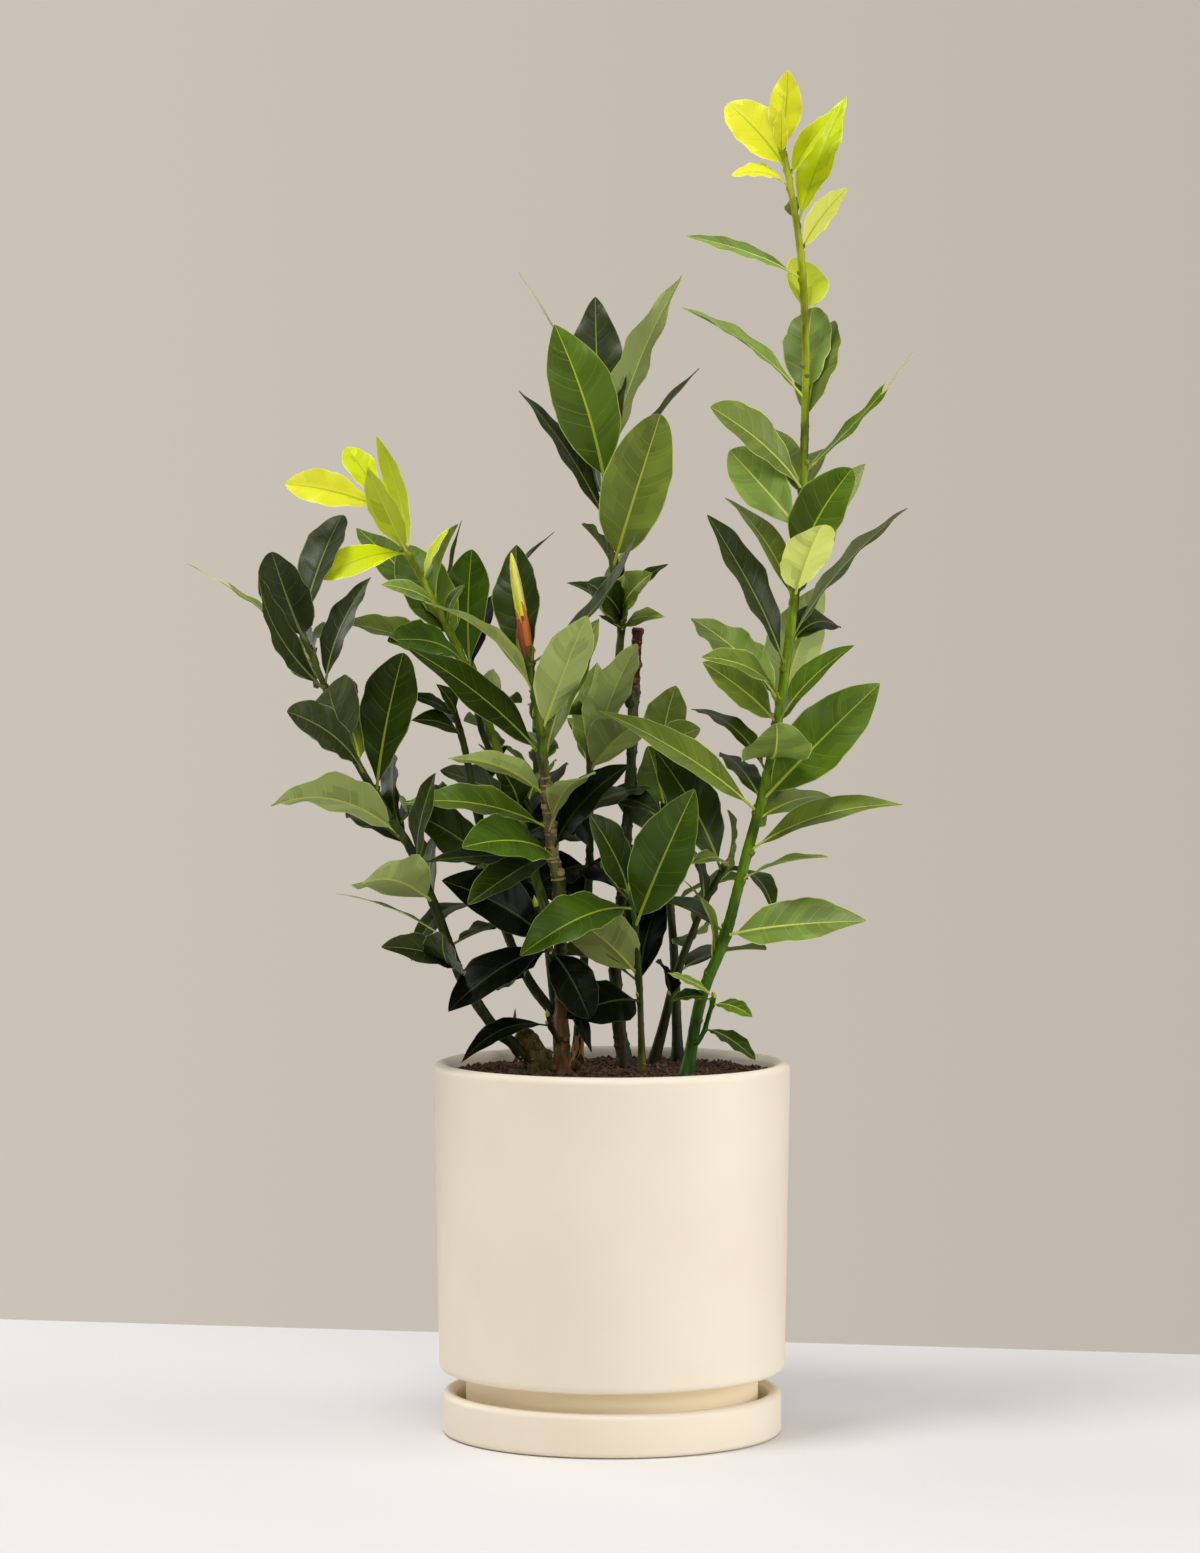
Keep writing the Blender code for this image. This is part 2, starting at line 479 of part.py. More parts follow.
def bud_tube(shoot, line, radii, collection):
    """The bud at a shoot's tip: a spindle that starts inside the stem."""
    length, radius = shoot.bud
    step = (line[-1] - line[-2]) / np.linalg.norm(line[-1] - line[-2])
    upright = np.array([0.0, 0.0, 1.0])
    lean = step + (upright - step) * BUD_UPTURN
    places = [line[-1] + (step * (1 - s) + lean * s) * length * s for s in BUD_STATIONS]
    widths = radius * np.array(BUD_WIDTHS)
    widths[0] = radii[-1] / 2
    widths[1] = max(radii[-1], widths[1])
    return tube(shoot.name + "_bud", np.array(places), widths, collection)


# ---------------------------------------------------------------- leaves

def half_width(share, width, form):
    """Half the width of a bay leaf at a share of its length, petiole included."""
    petiole = PETIOLE_WIDTH / 2
    if share <= PETIOLE_SHARE:
        return petiole
    along = (share - PETIOLE_SHARE) / (1.0 - PETIOLE_SHARE)
    outline = math.sin(math.pi * along**form.skew) ** form.bluntness
    return max(petiole * (1.0 - along), width / 2 * outline)


def upper_side(direction, turn, stem_step):
    """Unit normal of a leaf's upper side for its turn in degrees."""
    front = (FRONT - FRONT.dot(direction) * direction).normalized()
    across = direction.cross(front)
    if across.dot(stem_step) < 0.0:
        across.negate()
    angle = math.radians(turn)
    return math.cos(angle) * front + math.sin(angle) * across


def blade_mesh(blade, margin=0.0, start=0.0):
    """A closed leaf blade in metres: four-cornered sections that taper to a point.

    margin makes it thicker and wider, and start leaves out that share of it at the root.
    """
    chord = blade.tip - blade.root
    length = chord.length
    direction = chord.normalized()
    side = direction.cross(blade.normal).normalized()
    half_thickness = blade.normal * (LEAF_THICKNESS / 2.0 + margin)
    bm = bmesh.new()
    rings = []
    for station in blade.form.stations:
        share = start + (1.0 - start) * station
        half = half_width(share, blade.width, blade.form) + margin
        middle = blade.root + direction * (share * length) + blade.normal * rise(blade.arch, share)
        edge_lift = blade.normal * (FOLD * half * min(1.0, share / 0.3))
        corners = (middle - side * half + edge_lift, middle + half_thickness,
                   middle + side * half + edge_lift, middle - half_thickness)
        rings.append([bm.verts.new(corner * MM) for corner in corners])
    tip = bm.verts.new((blade.tip + direction * margin) * MM)
    for low, high in zip(rings, rings[1:]):
        for corner in range(4):
            bm.faces.new((low[corner], low[corner - 3], high[corner - 3], high[corner]))
    for corner in range(4):
        bm.faces.new((rings[-1][corner], rings[-1][corner - 3], tip))
    bm.faces.new(rings[0][::-1])
    bmesh.ops.recalc_face_normals(bm, faces=bm.faces)
    return bm


def rise(arch, share):
    """How far an arched blade stands off the straight line from root to tip."""
    return 4.0 * arch * share * (1.0 - share)


def touches(trees, blade, start):
    guard = blade_mesh(blade, CLEARANCE, start)
    tree = BVHTree.FromBMesh(guard)
    guard.free()
    return any(tree.overlap(other) for other in trees)


def place_leaf(leaf, line, others, own):
    """The leaf's blade, moved in depth until it is clear; None if it never is.

    Only its outer part has to be clear of its own shoot, and if that can't be had, the first
    place that is clear of the other shoots will do.
    """
    root, step, _ = point_at_height(line, leaf.height)
    root, step = Vector(root), Vector(step)
    second_best = None
    for nudge in DEPTH_NUDGES:
        reach = Vector((leaf.right, leaf.away + nudge, leaf.up))
        if nudge and reach.length > NUDGED_REACH:
            continue
        normal = upper_side(reach.normalized(), leaf.turn, step)
        blade = Blade(root, root + reach, leaf.width, normal, leaf.arch, leaf.form)
        if touches(others, blade, 0.0):
            continue
        if not touches(own, blade, OUTER_PART):
            return blade
        second_best = second_best or blade
    return second_best


def back_leaves(shoot, line, draw):
    """Leaves by rule on the far side: evenly up the stem, turned by the golden angle.

    Towards the tip they get shorter and point more nearly straight back.
    """
    low, high = line[0][2] + BACK_START, line[-1][2]
    for number in range(shoot.back_leaves):
        share = (number + draw.uniform(*BACK_PLACE)) / shoot.back_leaves
        arc_share = (number * GOLDEN_ANGLE / 360.0 + draw.uniform(-BACK_STRAY, BACK_STRAY)) % 1.0
        spread = BACK_SPREAD * (1.0 - BACK_NARROWING * share)
        bearing = math.radians(90.0 + spread * (arc_share - 0.5))
        climb = math.radians(draw.uniform(*BACK_RISE))
        length = draw.uniform(*BACK_LENGTH) * (1.0 - BACK_TAPER * share)
        flat = length * math.cos(climb)
        yield Leaf(
            height=low + (high - low) * share, right=flat * math.cos(bearing),
            away=flat * math.sin(bearing), up=length * math.sin(climb), width=BACK_WIDTH * length,
            turn=draw.uniform(*BACK_TURN), arch=draw.uniform(*BACK_ARCH), form=OVAL)


def mesh_object(name, bm, collection):
    mesh = bpy.data.meshes.new(name)
    bm.to_mesh(mesh)
    bm.free()
    piece = bpy.data.objects.new(name, mesh)
    collection.objects.link(piece)
    return piece


def shells_of(bm):
    """The faces of a mesh in connected groups, the largest group last."""
    waiting = set(bm.faces)
    shells = []
    while waiting:
        shell = []
        front = [waiting.pop()]
        while front:
            face = front.pop()
            shell.append(face)
            for edge in face.edges:
                for neighbour in edge.link_faces:
                    if neighbour in waiting:
                        waiting.remove(neighbour)
                        front.append(neighbour)
        shells.append(shell)
    return sorted(shells, key=len)


def clean_solid(mesh):
    """Triangulate a fused solid, drop flat twin faces, fill sealed hollows, drop loose scraps."""
    bm = bmesh.new()
    bm.from_mesh(mesh)
    bmesh.ops.triangulate(bm, faces=bm.faces)
    bm.verts.index_update()
    by_corners = {}
    for face in bm.faces:
        by_corners.setdefault(frozenset(vert.index for vert in face.verts), []).append(face)
    twins = [face for faces in by_corners.values() if len(faces) > 1 for face in faces]
    bmesh.ops.delete(bm, geom=twins, context="FACES")
    scraps = [face for shell in shells_of(bm)[:-1] for face in shell]
    bmesh.ops.delete(bm, geom=scraps, context="FACES")
    bm.to_mesh(mesh)
    bm.free()


def fuse(solid, pieces_collection):
    """Join every object of the collection to the solid with one Boolean union, and apply it."""
    union = solid.modifiers.new("Fuse", "BOOLEAN")
    union.operation = "UNION"
    union.solver = "EXACT"
    union.operand_type = "COLLECTION"
    union.collection = pieces_collection
    depsgraph = bpy.context.evaluated_depsgraph_get()
    joined = bpy.data.meshes.new_from_object(solid.evaluated_get(depsgraph))
    solid.modifiers.remove(union)
    for piece in list(pieces_collection.objects):
        bpy.data.objects.remove(piece)
    bpy.data.collections.remove(pieces_collection)
    clean_solid(joined)
    joined.name = solid.name
    solid.data = joined


def tree_of(solid):
    """The solid's evaluated mesh as a tree for touch tests."""
    bm = bmesh.new()
    bm.from_object(solid, bpy.context.evaluated_depsgraph_get())
    tree = BVHTree.FromBMesh(bm)
    bm.free()
    return tree


# ---------------------------------------------------------------- the plant

def make_stems(collection):
    """The bare limbs as solids, and the line and radii of every leafy stem, by shoot name."""
    whole = {}
    limbs = {}
    leafy = {}
    trunk_pieces = new_collection("trunk_pieces")
    for shoot in SHOOTS:
        line, radii = whole_stem(shoot, whole)
        whole[shoot.name] = (line, radii)
        limb_name = shoot.name + "_stem"
        if shoot is STUMP:
            tube(limb_name, line, radii, trunk_pieces)
        elif shoot.bud is None:
            limbs[shoot.name] = tube(limb_name, line, radii, collection)
        elif shoot.fork is None:
            leafy[shoot.name] = (line, radii)
        else:
            below, leafy[shoot.name] = split_stem(line, radii, shoot.fork)
            limbs[shoot.name] = tube(limb_name, *below, collection)
    fuse(limbs["trunk"], trunk_pieces)
    return limbs, leafy


def make_masses(collection, leafy, fixed):
    """One solid for each leafy stem: the stem, its bud and its leaves, fused.

    The leaves by rule find room only after all the others have theirs.
    """
    draw = random.Random(SEED)
    pieces = {}
    waiting = []
    by_rule = []
    masses = {name: tube(name + "_leaves", *stem, collection) for name, stem in leafy.items()}
    taken = {name: [tree_of(mass)] for name, mass in masses.items()}
    for shoot in SHOOTS:
        if shoot.name not in leafy:
            continue
        line, radii = leafy[shoot.name]
        pieces[shoot.name] = new_collection(shoot.name + "_pieces")
        bud = bud_tube(shoot, line, radii, pieces[shoot.name])
        taken[shoot.name].append(tree_of(bud))
        waiting.append((shoot.name, shoot.leaves))
        by_rule.append((shoot.name, list(back_leaves(shoot, line, draw))))
    for name, leaves in waiting + by_rule:
        others = fixed + [tree for other in taken if other != name for tree in taken[other]]
        for leaf in leaves:
            blade = place_leaf(leaf, leafy[name][0], others, taken[name])
            if blade is not None:
                piece = mesh_object(name + "_leaf", blade_mesh(blade), pieces[name])
                taken[name].append(tree_of(piece))
    for name, mass in masses.items():
        fuse(mass, pieces[name])
    return masses


def make_plant(collection, materials, pot_parts):
    limbs, leafy = make_stems(collection)
    fixed = [tree_of(solid) for solid in pot_parts + list(limbs.values())]
    masses = make_masses(collection, leafy, fixed)
    for name, limb in limbs.items():
        limb.data.materials.append(materials["green_bark" if name in GREEN_STEMS else "brown_bark"])
    for name, mass in masses.items():
        mass.data.materials.append(materials["young_leaf" if name in YOUNG_LEAVED else "leaf"])


def build():
    clear_scene()
    collection = new_collection("potted_bay_bush")
    materials = {
        "ceramic": make_material("cream_ceramic", (0.80, 0.74, 0.62), 0.55),
        "soil": make_material("dark_soil", (0.035, 0.022, 0.014), 0.95),
        "brown_bark": make_material("brown_bark", (0.12, 0.07, 0.035), 0.8),
        "green_bark": make_material("green_bark", (0.10, 0.16, 0.03), 0.6),
        "leaf": make_material("leaf_green", (0.06, 0.14, 0.025), 0.4),
        "young_leaf": make_material("young_leaf_lime", (0.45, 0.55, 0.03), 0.45),
    }
    saucer = make_saucer(collection, materials["ceramic"])
    pot = make_pot(collection, materials["ceramic"])
    soil = make_soil(collection, materials["soil"])
    make_plant(collection, materials, [saucer, pot, soil])


build()
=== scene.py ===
import functools
import json
import math
import random
from collections import namedtuple

import bpy
import numpy as np
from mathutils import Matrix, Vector, noise
from mathutils.kdtree import KDTree

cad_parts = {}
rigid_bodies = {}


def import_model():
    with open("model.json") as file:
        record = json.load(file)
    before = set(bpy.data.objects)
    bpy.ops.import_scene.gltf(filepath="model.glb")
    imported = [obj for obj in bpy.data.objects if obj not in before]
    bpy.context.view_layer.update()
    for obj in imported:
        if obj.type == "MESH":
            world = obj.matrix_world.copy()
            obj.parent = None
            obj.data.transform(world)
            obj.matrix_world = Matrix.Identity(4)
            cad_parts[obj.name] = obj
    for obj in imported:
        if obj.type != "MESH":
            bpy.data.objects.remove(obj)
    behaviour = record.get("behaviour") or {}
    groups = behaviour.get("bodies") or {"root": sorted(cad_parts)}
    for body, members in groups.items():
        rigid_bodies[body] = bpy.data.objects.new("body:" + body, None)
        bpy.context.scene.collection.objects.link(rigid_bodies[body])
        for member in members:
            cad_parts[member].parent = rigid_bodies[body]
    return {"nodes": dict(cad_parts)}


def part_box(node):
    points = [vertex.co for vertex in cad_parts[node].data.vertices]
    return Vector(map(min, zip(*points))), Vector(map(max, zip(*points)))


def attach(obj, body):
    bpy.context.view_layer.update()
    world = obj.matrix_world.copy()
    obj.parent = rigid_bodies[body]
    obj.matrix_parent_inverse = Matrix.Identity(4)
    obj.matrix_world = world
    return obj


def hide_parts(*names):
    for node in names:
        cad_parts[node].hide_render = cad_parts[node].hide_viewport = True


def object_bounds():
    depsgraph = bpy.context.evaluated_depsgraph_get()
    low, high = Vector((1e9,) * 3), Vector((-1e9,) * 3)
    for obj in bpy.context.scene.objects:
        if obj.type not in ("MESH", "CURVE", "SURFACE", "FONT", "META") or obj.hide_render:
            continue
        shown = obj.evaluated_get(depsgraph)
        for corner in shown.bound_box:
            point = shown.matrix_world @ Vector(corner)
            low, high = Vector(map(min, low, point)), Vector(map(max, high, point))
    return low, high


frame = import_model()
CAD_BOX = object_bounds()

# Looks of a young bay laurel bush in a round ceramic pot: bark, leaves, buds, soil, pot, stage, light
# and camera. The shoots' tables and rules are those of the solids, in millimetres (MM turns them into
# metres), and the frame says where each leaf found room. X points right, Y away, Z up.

MM = 0.001
GAP = 0.3
UP = np.array([0.0, 0.0, 1.0])

# Stems and leaves, as in the solids
FOOT_LEVEL = 192.3
STEM_STEP = 15.0
CURVE_STEPS = 24             # steps of a curve between two points of its route
FLARE = 0.45
FLARE_HEIGHT = 9.0
STRAIGHT_END = 1.6
FORK_CLEARANCE = 2.5         # straight ends at least between a fork and the next ring
FOLD = 0.16
DEPTH_NUDGES = (0, 8, -8, 16, -16, 24, -24, 34, -34)
TIP_MATCH = 0.05
FRONT = Vector((0.0, -1.0, 0.0))
BACK_SPREAD = 96.0
BACK_NARROWING = 0.65
BACK_RISE = (5.0, 50.0)
BACK_LENGTH = (62.0, 88.0)
BACK_TAPER = 0.42
BACK_WIDTH = 0.37
BACK_TURN = (50.0, 110.0)
BACK_ARCH = (3.0, 8.0)
BACK_START = 8.0
BACK_PLACE = (0.2, 0.8)
BACK_STRAY = 0.06
BUD_UPTURN = 0.35
GOLDEN_ANGLE = 137.5
SEED = 41

# Fine leaves: the grid of points of each side
PETIOLE_SHARE = 0.1          # of the length from the stem's middle
PETIOLE_ROWS = (0.0, 0.035, 0.07)
ROWS_PER_VEIN = 4
STRIPS = 8                   # strips of faces from the midrib's ridge to the margin
COLUMNS = 2 * STRIPS + 1
RIB_STEPS = (0.0, 0.6, 1.0)  # columns over the midrib, as shares of its half width
BLADE_STEPS = (0.22, 0.46, 0.68, 0.86)
VEIN_SPACING = 9.5           # about this much blade for each pair of side veins
VEIN_PAIRS = (5, 10)
VEIN_WIDTH = 0.5
VEIN_TAPER = 0.75            # share of that width that is lost at the margin
VEIN_STRAY = 0.8             # rows by which a vein strays from its even place
VEIN_STRAY_STEP = 2.4        # radians from row to row
TURN = 6.3                   # radians that a phase from 0 to 1 spans
TIP_CROWDING = 1.4           # over 1 sets rows and veins closer toward the tip

# Fine leaves: thicknesses and curves. Lengths along a leaf are shares of it.
USUAL_WIDTH = 30.0           # of a leaf whose rib and waves are as given here
RIB_RADIUS = 0.8
RIB_END = 1.06
RIB_TAPER = 0.75
RIB_MOST = 0.96              # share of the half width that the rib may fill
RIB_EDGE = 0.06              # blade beside the rib where the leaf is narrowest
RIB_SUNK_ABOVE = 0.62        # shares of the rib's height that the blade hides
RIB_SUNK_BELOW = 0.3
MARGIN_WIDTH = 0.45
MARGIN_MOST = 0.12
BLADE_HALF_THICKNESS = 0.2
BLADE_START = (0.06, 0.12)   # where the blade begins and over what length it grows
SWEEP = 0.85                 # how far the side veins run forward, in half widths
SWEEP_MOST = 0.22
SWEEP_CURVE = 1.25
RAGGED_WAVES = (2.6, 4.3)
FOLD_START = 0.3
TWIST_START = 0.3
QUILT = 0.36                 # how far the blade stands up between its side veins
QUILT_WIDTH = 24.0           # of the narrowest leaf with a full quilt
UNDER_VEIN = 0.18
TAIL_DRY_FROM = 0.55         # share of a long thin leaf where its dry pale end starts
SHARP_ANGLE = 50.0

# Fine leaves: the play of each form
BEND_PLAY = 0.03
WAVE_HEIGHT = (0.6, 1.9)
WAVE_COUNT = (2.0, 4.2)
TWIST_PLAY = 18.0
DROOP_PLAY = (-0.5, 1.8)
FOLD_PLAY = (0.6, 2.2)
NIBBLE = (0.02, 0.1)
# The side-to-side step is a painted light and shade: one half of a leaf lighter, the other darker.
TINT_AND_SIDE_SHADE_PLAY = (0.7, 1.4, 1.0)  # in steps of shade: the whole leaf, root to tip, side to side
BLOTCH = 0.6
BLOTCH_STEP = 2.3
EDGE_LIGHT = 1.1

LeafForm = namedtuple("LeafForm", "veins bend wave waves phases twist droop fold nibble tint dry_from")

# One side of a leaf: -1 or 1, the rows by which its veins are moved, and the phases of its waves and
# of its ragged margin
LeafSide = namedtuple("LeafSide", "sign offset phase bite")

# Fine stems
FINE_STEP = 1.0
FISSURES = 7.0               # shallow furrows round a stem
THICK_STEM = 4.0             # a stem with a greater radius has more sides
STEM_SIDES = (24, 14)
CUSHION = 0.75               # height, length and half angle of the swelling under each petiole
CUSHION_LENGTH = 1.6
CUSHION_ANGLE = 0.75
Bark = namedtuple("Bark", "lumps grain stretch fissures scars")
WOODY = Bark(lumps=1.2, grain=0.2, stretch=0.5, fissures=0.3, scars=0.55)
SMOOTH = Bark(lumps=0.3, grain=0.12, stretch=0.3, fissures=0.05, scars=0.14)
BARKS = {"trunk": WOODY, "stump": WOODY, "old": WOODY}
SCAR_START = (3.0, 8.0)
SCAR_SPACING = (4.5, 12.0)
SCAR_SWELL = (0.6, 1.3)
SCAR_LEAN = 0.8
SCAR_HALF = 0.75
# Heights with close rows of ring scars
RING_ZONES = {"trunk": (296.0, 352.0), "old": (392.0, 430.0)}
RING_SWELL = 0.38
RING_PLAY = (0.5, 1.4)
RING_HALF = 0.75
RING_LEAN = 0.9
RING_SPACING = (2.4, 8.0)
RING_COLOURED = 0.78         # the share of a ring's rise that takes its colour
RING_SLOTS = {"trunk": "ring_tan", "old": "ring_brown"}
# Knobs and scars on the stems: shoot, height, side they face (right, away), size and colour
STUBS = (
    ("tall", 221, (1.0, -0.8), 1.5, "scar_brown"), ("tall", 246, (-1.0, -0.6), 1.5, "tall_bark"),
    ("tall", 310, (1.0, -0.5), 2.1, "tall_bark"), ("tall", 331, (-1.0, -0.5), 1.5, "scar_brown"),
    ("tall", 352, (0.9, -0.8), 1.7, "tall_bark"), ("tall", 406, (-0.7, -1.0), 1.5, "scar_brown"),
    ("tall", 455, (0.4, -1.0), 1.6, "tall_bark"), ("tall", 517, (1.0, -0.5), 2.0, "bud_olive"),
    ("tall", 563, (0.3, -1.0), 1.3, "scar_brown"), ("tall", 569, (-1.0, -0.4), 1.9, "bud_olive"),
    ("trunk", 300, (1.0, -0.5), 2.5, "ring_tan"), ("trunk", 311, (-1.0, -0.6), 2.2, "trunk_bark"),
    ("trunk", 322, (0.6, -1.0), 2.0, "ring_tan"), ("trunk", 335, (-0.8, -0.8), 2.1, "ring_tan"),
    ("trunk", 347, (1.0, -0.4), 1.9, "trunk_bark"), ("trunk", 268, (0.8, -0.8), 1.8, "trunk_bark"),
    ("trunk", 238, (-0.9, -0.8), 2.0, "trunk_bark"), ("trunk", 211, (0.5, -1.0), 2.2, "trunk_bark"),
    ("old", 401, (-1.0, -0.8), 2.4, "ring_brown"), ("old", 409, (0.9, -0.8), 1.9, "ring_brown"),
    ("old", 418, (-0.6, -1.0), 1.8, "ring_brown"), ("old", 330, (0.5, -1.0), 1.7, "old_bark"),
    ("old", 262, (-0.8, -0.7), 1.8, "old_bark"), ("left", 262, (-0.4, -1.0), 1.6, "dark_bark"),
    ("left", 330, (0.7, -1.0), 1.6, "dark_bark"), ("inner", 302, (-0.9, -0.8), 1.6, "dark_bark"),
    ("lime", 350, (0.7, -0.9), 1.5, "lime_bark"), ("young", 196, (0.6, -1.0), 1.1, "lichen"))
STUB_SUNK = 0.25             # share of its size by which a knob is sunk
# Knobs round the stump: middle and size
STUMP_KNOBS = (
    (-37.0, -11.0, 196.5, 3.6), (-43.0, -10.0, 202.0, 3.8), (-47.0, -9.0, 208.0, 3.4),
    (-40.0, -12.0, 207.0, 2.9), (-34.5, -9.0, 202.5, 3.0), (-44.0, -3.0, 197.0, 3.6),
    (-47.5, -4.0, 203.0, 3.0), (-31.5, -11.5, 196.0, 2.4), (-19.5, -7.0, 196.5, 3.0),
    (-23.0, -1.5, 197.0, 3.2), (-45.5, -7.0, 211.5, 4.9), (-48.5, -9.5, 212.0, 3.2),
    (-42.0, -9.0, 211.0, 3.2), (-46.0, -3.5, 209.0, 3.6))
# Specks of lichen on the stump: ranges of right, up and away
LICHEN_SPOTS = 14
LICHEN_PLACE = ((-49.0, -38.0), (199.0, 211.0), (-14.5, -12.0))
LICHEN_SIZE = (0.35, 0.8)
# Dried fibres beside the trunk: ranges of right, away and up of the top, and of the way down from it
FIBRES = 16
FIBRE_TOP = ((-21.0, -15.5), (-12.5, -8.0), (206.0, 214.5))
FIBRE_FALL = ((-3.5, 2.0), (-1.0, 1.0), (-5.0, -11.0))
FIBRE_BEND = 2.0
FIBRE_RADIUS = (0.25, 0.5)
# Three dry bracts, the old stem's spur and a curled stub: foot, direction, length, radius, colours,
# bend, sides and rings
DRY_BITS = (
    ((-53.5, -13.0, 214.5), (0.16, 0.0, 0.98), 13.5, 0.55, ("bract",), (0.0, 0.0, 0.0), 6, 9),
    ((-52.0, -13.0, 214.5), (0.05, 0.0, 0.98), 13.5, 0.55, ("bract",), (0.0, 0.0, 0.0), 6, 9),
    ((-50.8, -13.0, 214.5), (-0.04, 0.0, 0.98), 13.5, 0.55, ("bract",), (0.0, 0.0, 0.0), 6, 9),
    ((12.0, 27.0, 396.0), (-0.85, -0.2, 0.5), 7.5, 2.1, ("old_bark", "old_bark", "curl"),
     (0.0, 0.0, 0.0), 12, 9),
    ((-33.5, -27.5, 322.0), (0.35, -0.1, 0.93), 21.0, 0.7, ("curl",), (1.5, -1.0, 0.0), 7, 12))
DETAIL_SEED = 5
GREEN_STEMS = ("tall", "young", "lime")
BARK_SLOTS = {"trunk": "trunk_bark", "stump": "stump_bark", "old": "old_bark", "tall": "tall_bark",
              "young": "green_bark", "lime": "lime_bark", "sprout_right": "tall_bark"}

# Buds
BUD_TIP = (-8.4, -5.0, 52.5)    # of the trunk's big bud, from its foot
BUD_SUNK = 4.0
BUD_RINGS = 30
BUD_SIDES = 24
BUD_TWIST = 1.4
BUD_ROLLS = 3.0              # rolled leaves that show, and the depth of the furrows between them
BUD_FURROW = 0.22
BUD_SWAY = 0.7
BUD_RED = 0.38               # share of the bud that is red, up to a ragged edge
BUD_PLACES = (0.0, 0.12, 0.3, 0.5, 0.7, 0.86, 0.95, 1.0)
BUD_RADII = (2.3, 3.1, 3.2, 2.9, 2.75, 2.0, 1.2, 0.35)
# Scales over the bud's foot: offset (right, away, up), share of its length, radius, tilt and colours
BUD_SCALES = (
    (0.9, -1.4, -2.0, 0.50, 2.4, 0.02, ("bud_brown", "bud_orange", "bud_orange", "bud_orange", "bud_red")),
    (-1.0, -1.5, -2.5, 0.46, 2.2, -0.03, ("bud_brown", "bud_red", "bud_red", "bud_red", "bud_orange")),
    (-2.4, -0.8, -5.0, 0.34, 1.7, -0.08, ("bud_olive", "bud_olive", "bud_brown")),
    (0.2, 1.6, -2.0, 0.50, 2.4, 0.0, ("bud_brown", "bud_red", "bud_olive")),
    (2.3, -0.4, -4.0, 0.28, 1.6, 0.08, ("bud_olive", "bud_olive", "bud_red")))
SCALE_BEND = -12.0
TIP_BUDS = {"left": ("bud_red", "bud_cream", "bud_green"), "lime": ("bud_green", "bud_yellow"),
            "tall": ("bud_green", "bud_yellow"), "young": ("bud_green", "bud_green", "bud_yellow"),
            "right": ("bud_olive", "bud_red"), "centre": ("bud_olive", "bud_green")}
AXIL_BUDS = (("bud_brown", "bud_olive"), ("bud_olive", "bud_green"), ("bud_olive", "bud_brown"))
AXIL_MISSING = 0.3           # share of the leaves that have none
AXIL_LENGTH = (2.0, 3.4)
AXIL_LEAN = 0.55

# Pot and saucer
POT_STEPS = 180
SAUCER_RADIUS = 90.5
SAUCER_HEIGHT = 23.0
SAUCER_WALL = 7.0
SAUCER_FLOOR = 5.0
SAUCER_ROUND = 3.0
BARE_BELOW_RIM = 9.0         # the saucer's inside is bare up to this far below its rim
POT_RIM_RADIUS = 95.0
POT_BODY_RADIUS = 92.3
POT_TOP = 198.0
POT_BODY_BOTTOM = 33.5
POT_FOOT_RADIUS = 78.0
POT_ROUNDS = (2.0, 4.0)      # at the foot's two edges and under the body
POT_WALL = 8.0
POT_FLOOR = 9.0
POT_INSIDE = (0.6, 180.0, 60.0)      # how far the wall thickens below the rim, and its two heights
DRAIN_RADIUS = 8.0
DRAIN_ROUND = 1.0
DRAIN_WEB = 0.5              # thickness of what closes the drain hole under the soil

# Soil
SOIL_EDGE = 0.4
SOIL_DEPTH = 12.0
SOIL_RINGS = 70
SOIL_SIDES = 150
SOIL_SUNK = 0.6
# Height, scale and place of its two sizes of lumps
SOIL_LUMPS = ((1.6, 0.09, 0.0), (1.1, 0.35, 9.0))
CRUMBS = 1500
CRUMB_SIZE = 2.6
CRUMB_SEED = 7

# Stage, light and camera, in metres and watts
TABLE_BACK = (0.62, 0.06)
TABLE_FRONT = -1.2
TABLE_HALF_WIDTH = 1.4
TABLE_DROP = 0.0002
BACKDROP_SPREAD = 0.12
SKY_LOW = 0.15               # light from all round, and how much more comes from straight above
SKY_MORE = 0.50
SKY_COLOUR = (1.0, 0.985, 0.965, 1.0)
# Softboxes: name, place, target, size and power
SOFTBOXES = (
    ("key", (-0.6, -0.6, 2.3), (0.0, 0.0, 0.2), (0.7, 0.7), 26.0),
    ("fill", (0.2, -2.2, 1.1), (0.0, 0.0, 0.35), (1.0, 0.7), 12.0),
    ("rim", (-1.2, 0.7, 0.6), (0.0, 0.0, 0.3), (0.9, 0.8), 6.0),
    ("side", (1.55, -0.35, 0.5), (0.0, 0.0, 0.3), (0.9, 0.8), 11.0))
CAMERA_DISTANCE = 2.70
CAMERA_X = -0.0064
CAMERA_Z = 0.45
AIM_Z = 0.350
VIEW_HEIGHT = 0.826          # height of the view at the pot's axis
SENSOR = 36.0

# Colours as a screen shows them, 0 to 255
CERAMIC_COLOUR = (241, 230, 206)
CERAMIC_TINTS = ((234, 221, 199), (239, 227, 206))
# Bare clay, made brighter and warmer than the glaze as a painted glow of light bouncing between pot and
# saucer
CLAY_GLOW_COLOUR = (255, 238, 202)
SOIL_COLOUR = (70, 50, 36)
SOIL_TINTS = ((0.3, (38, 24, 13)), (0.52, (84, 59, 38)), (0.72, (132, 98, 66)))
TABLE_COLOUR = (226, 224, 222)
BACKDROP_LEFT = (203, 195, 184)
BACKDROP_RIGHT = (192, 184, 173)
DRY_COLOUR = (188, 182, 136)
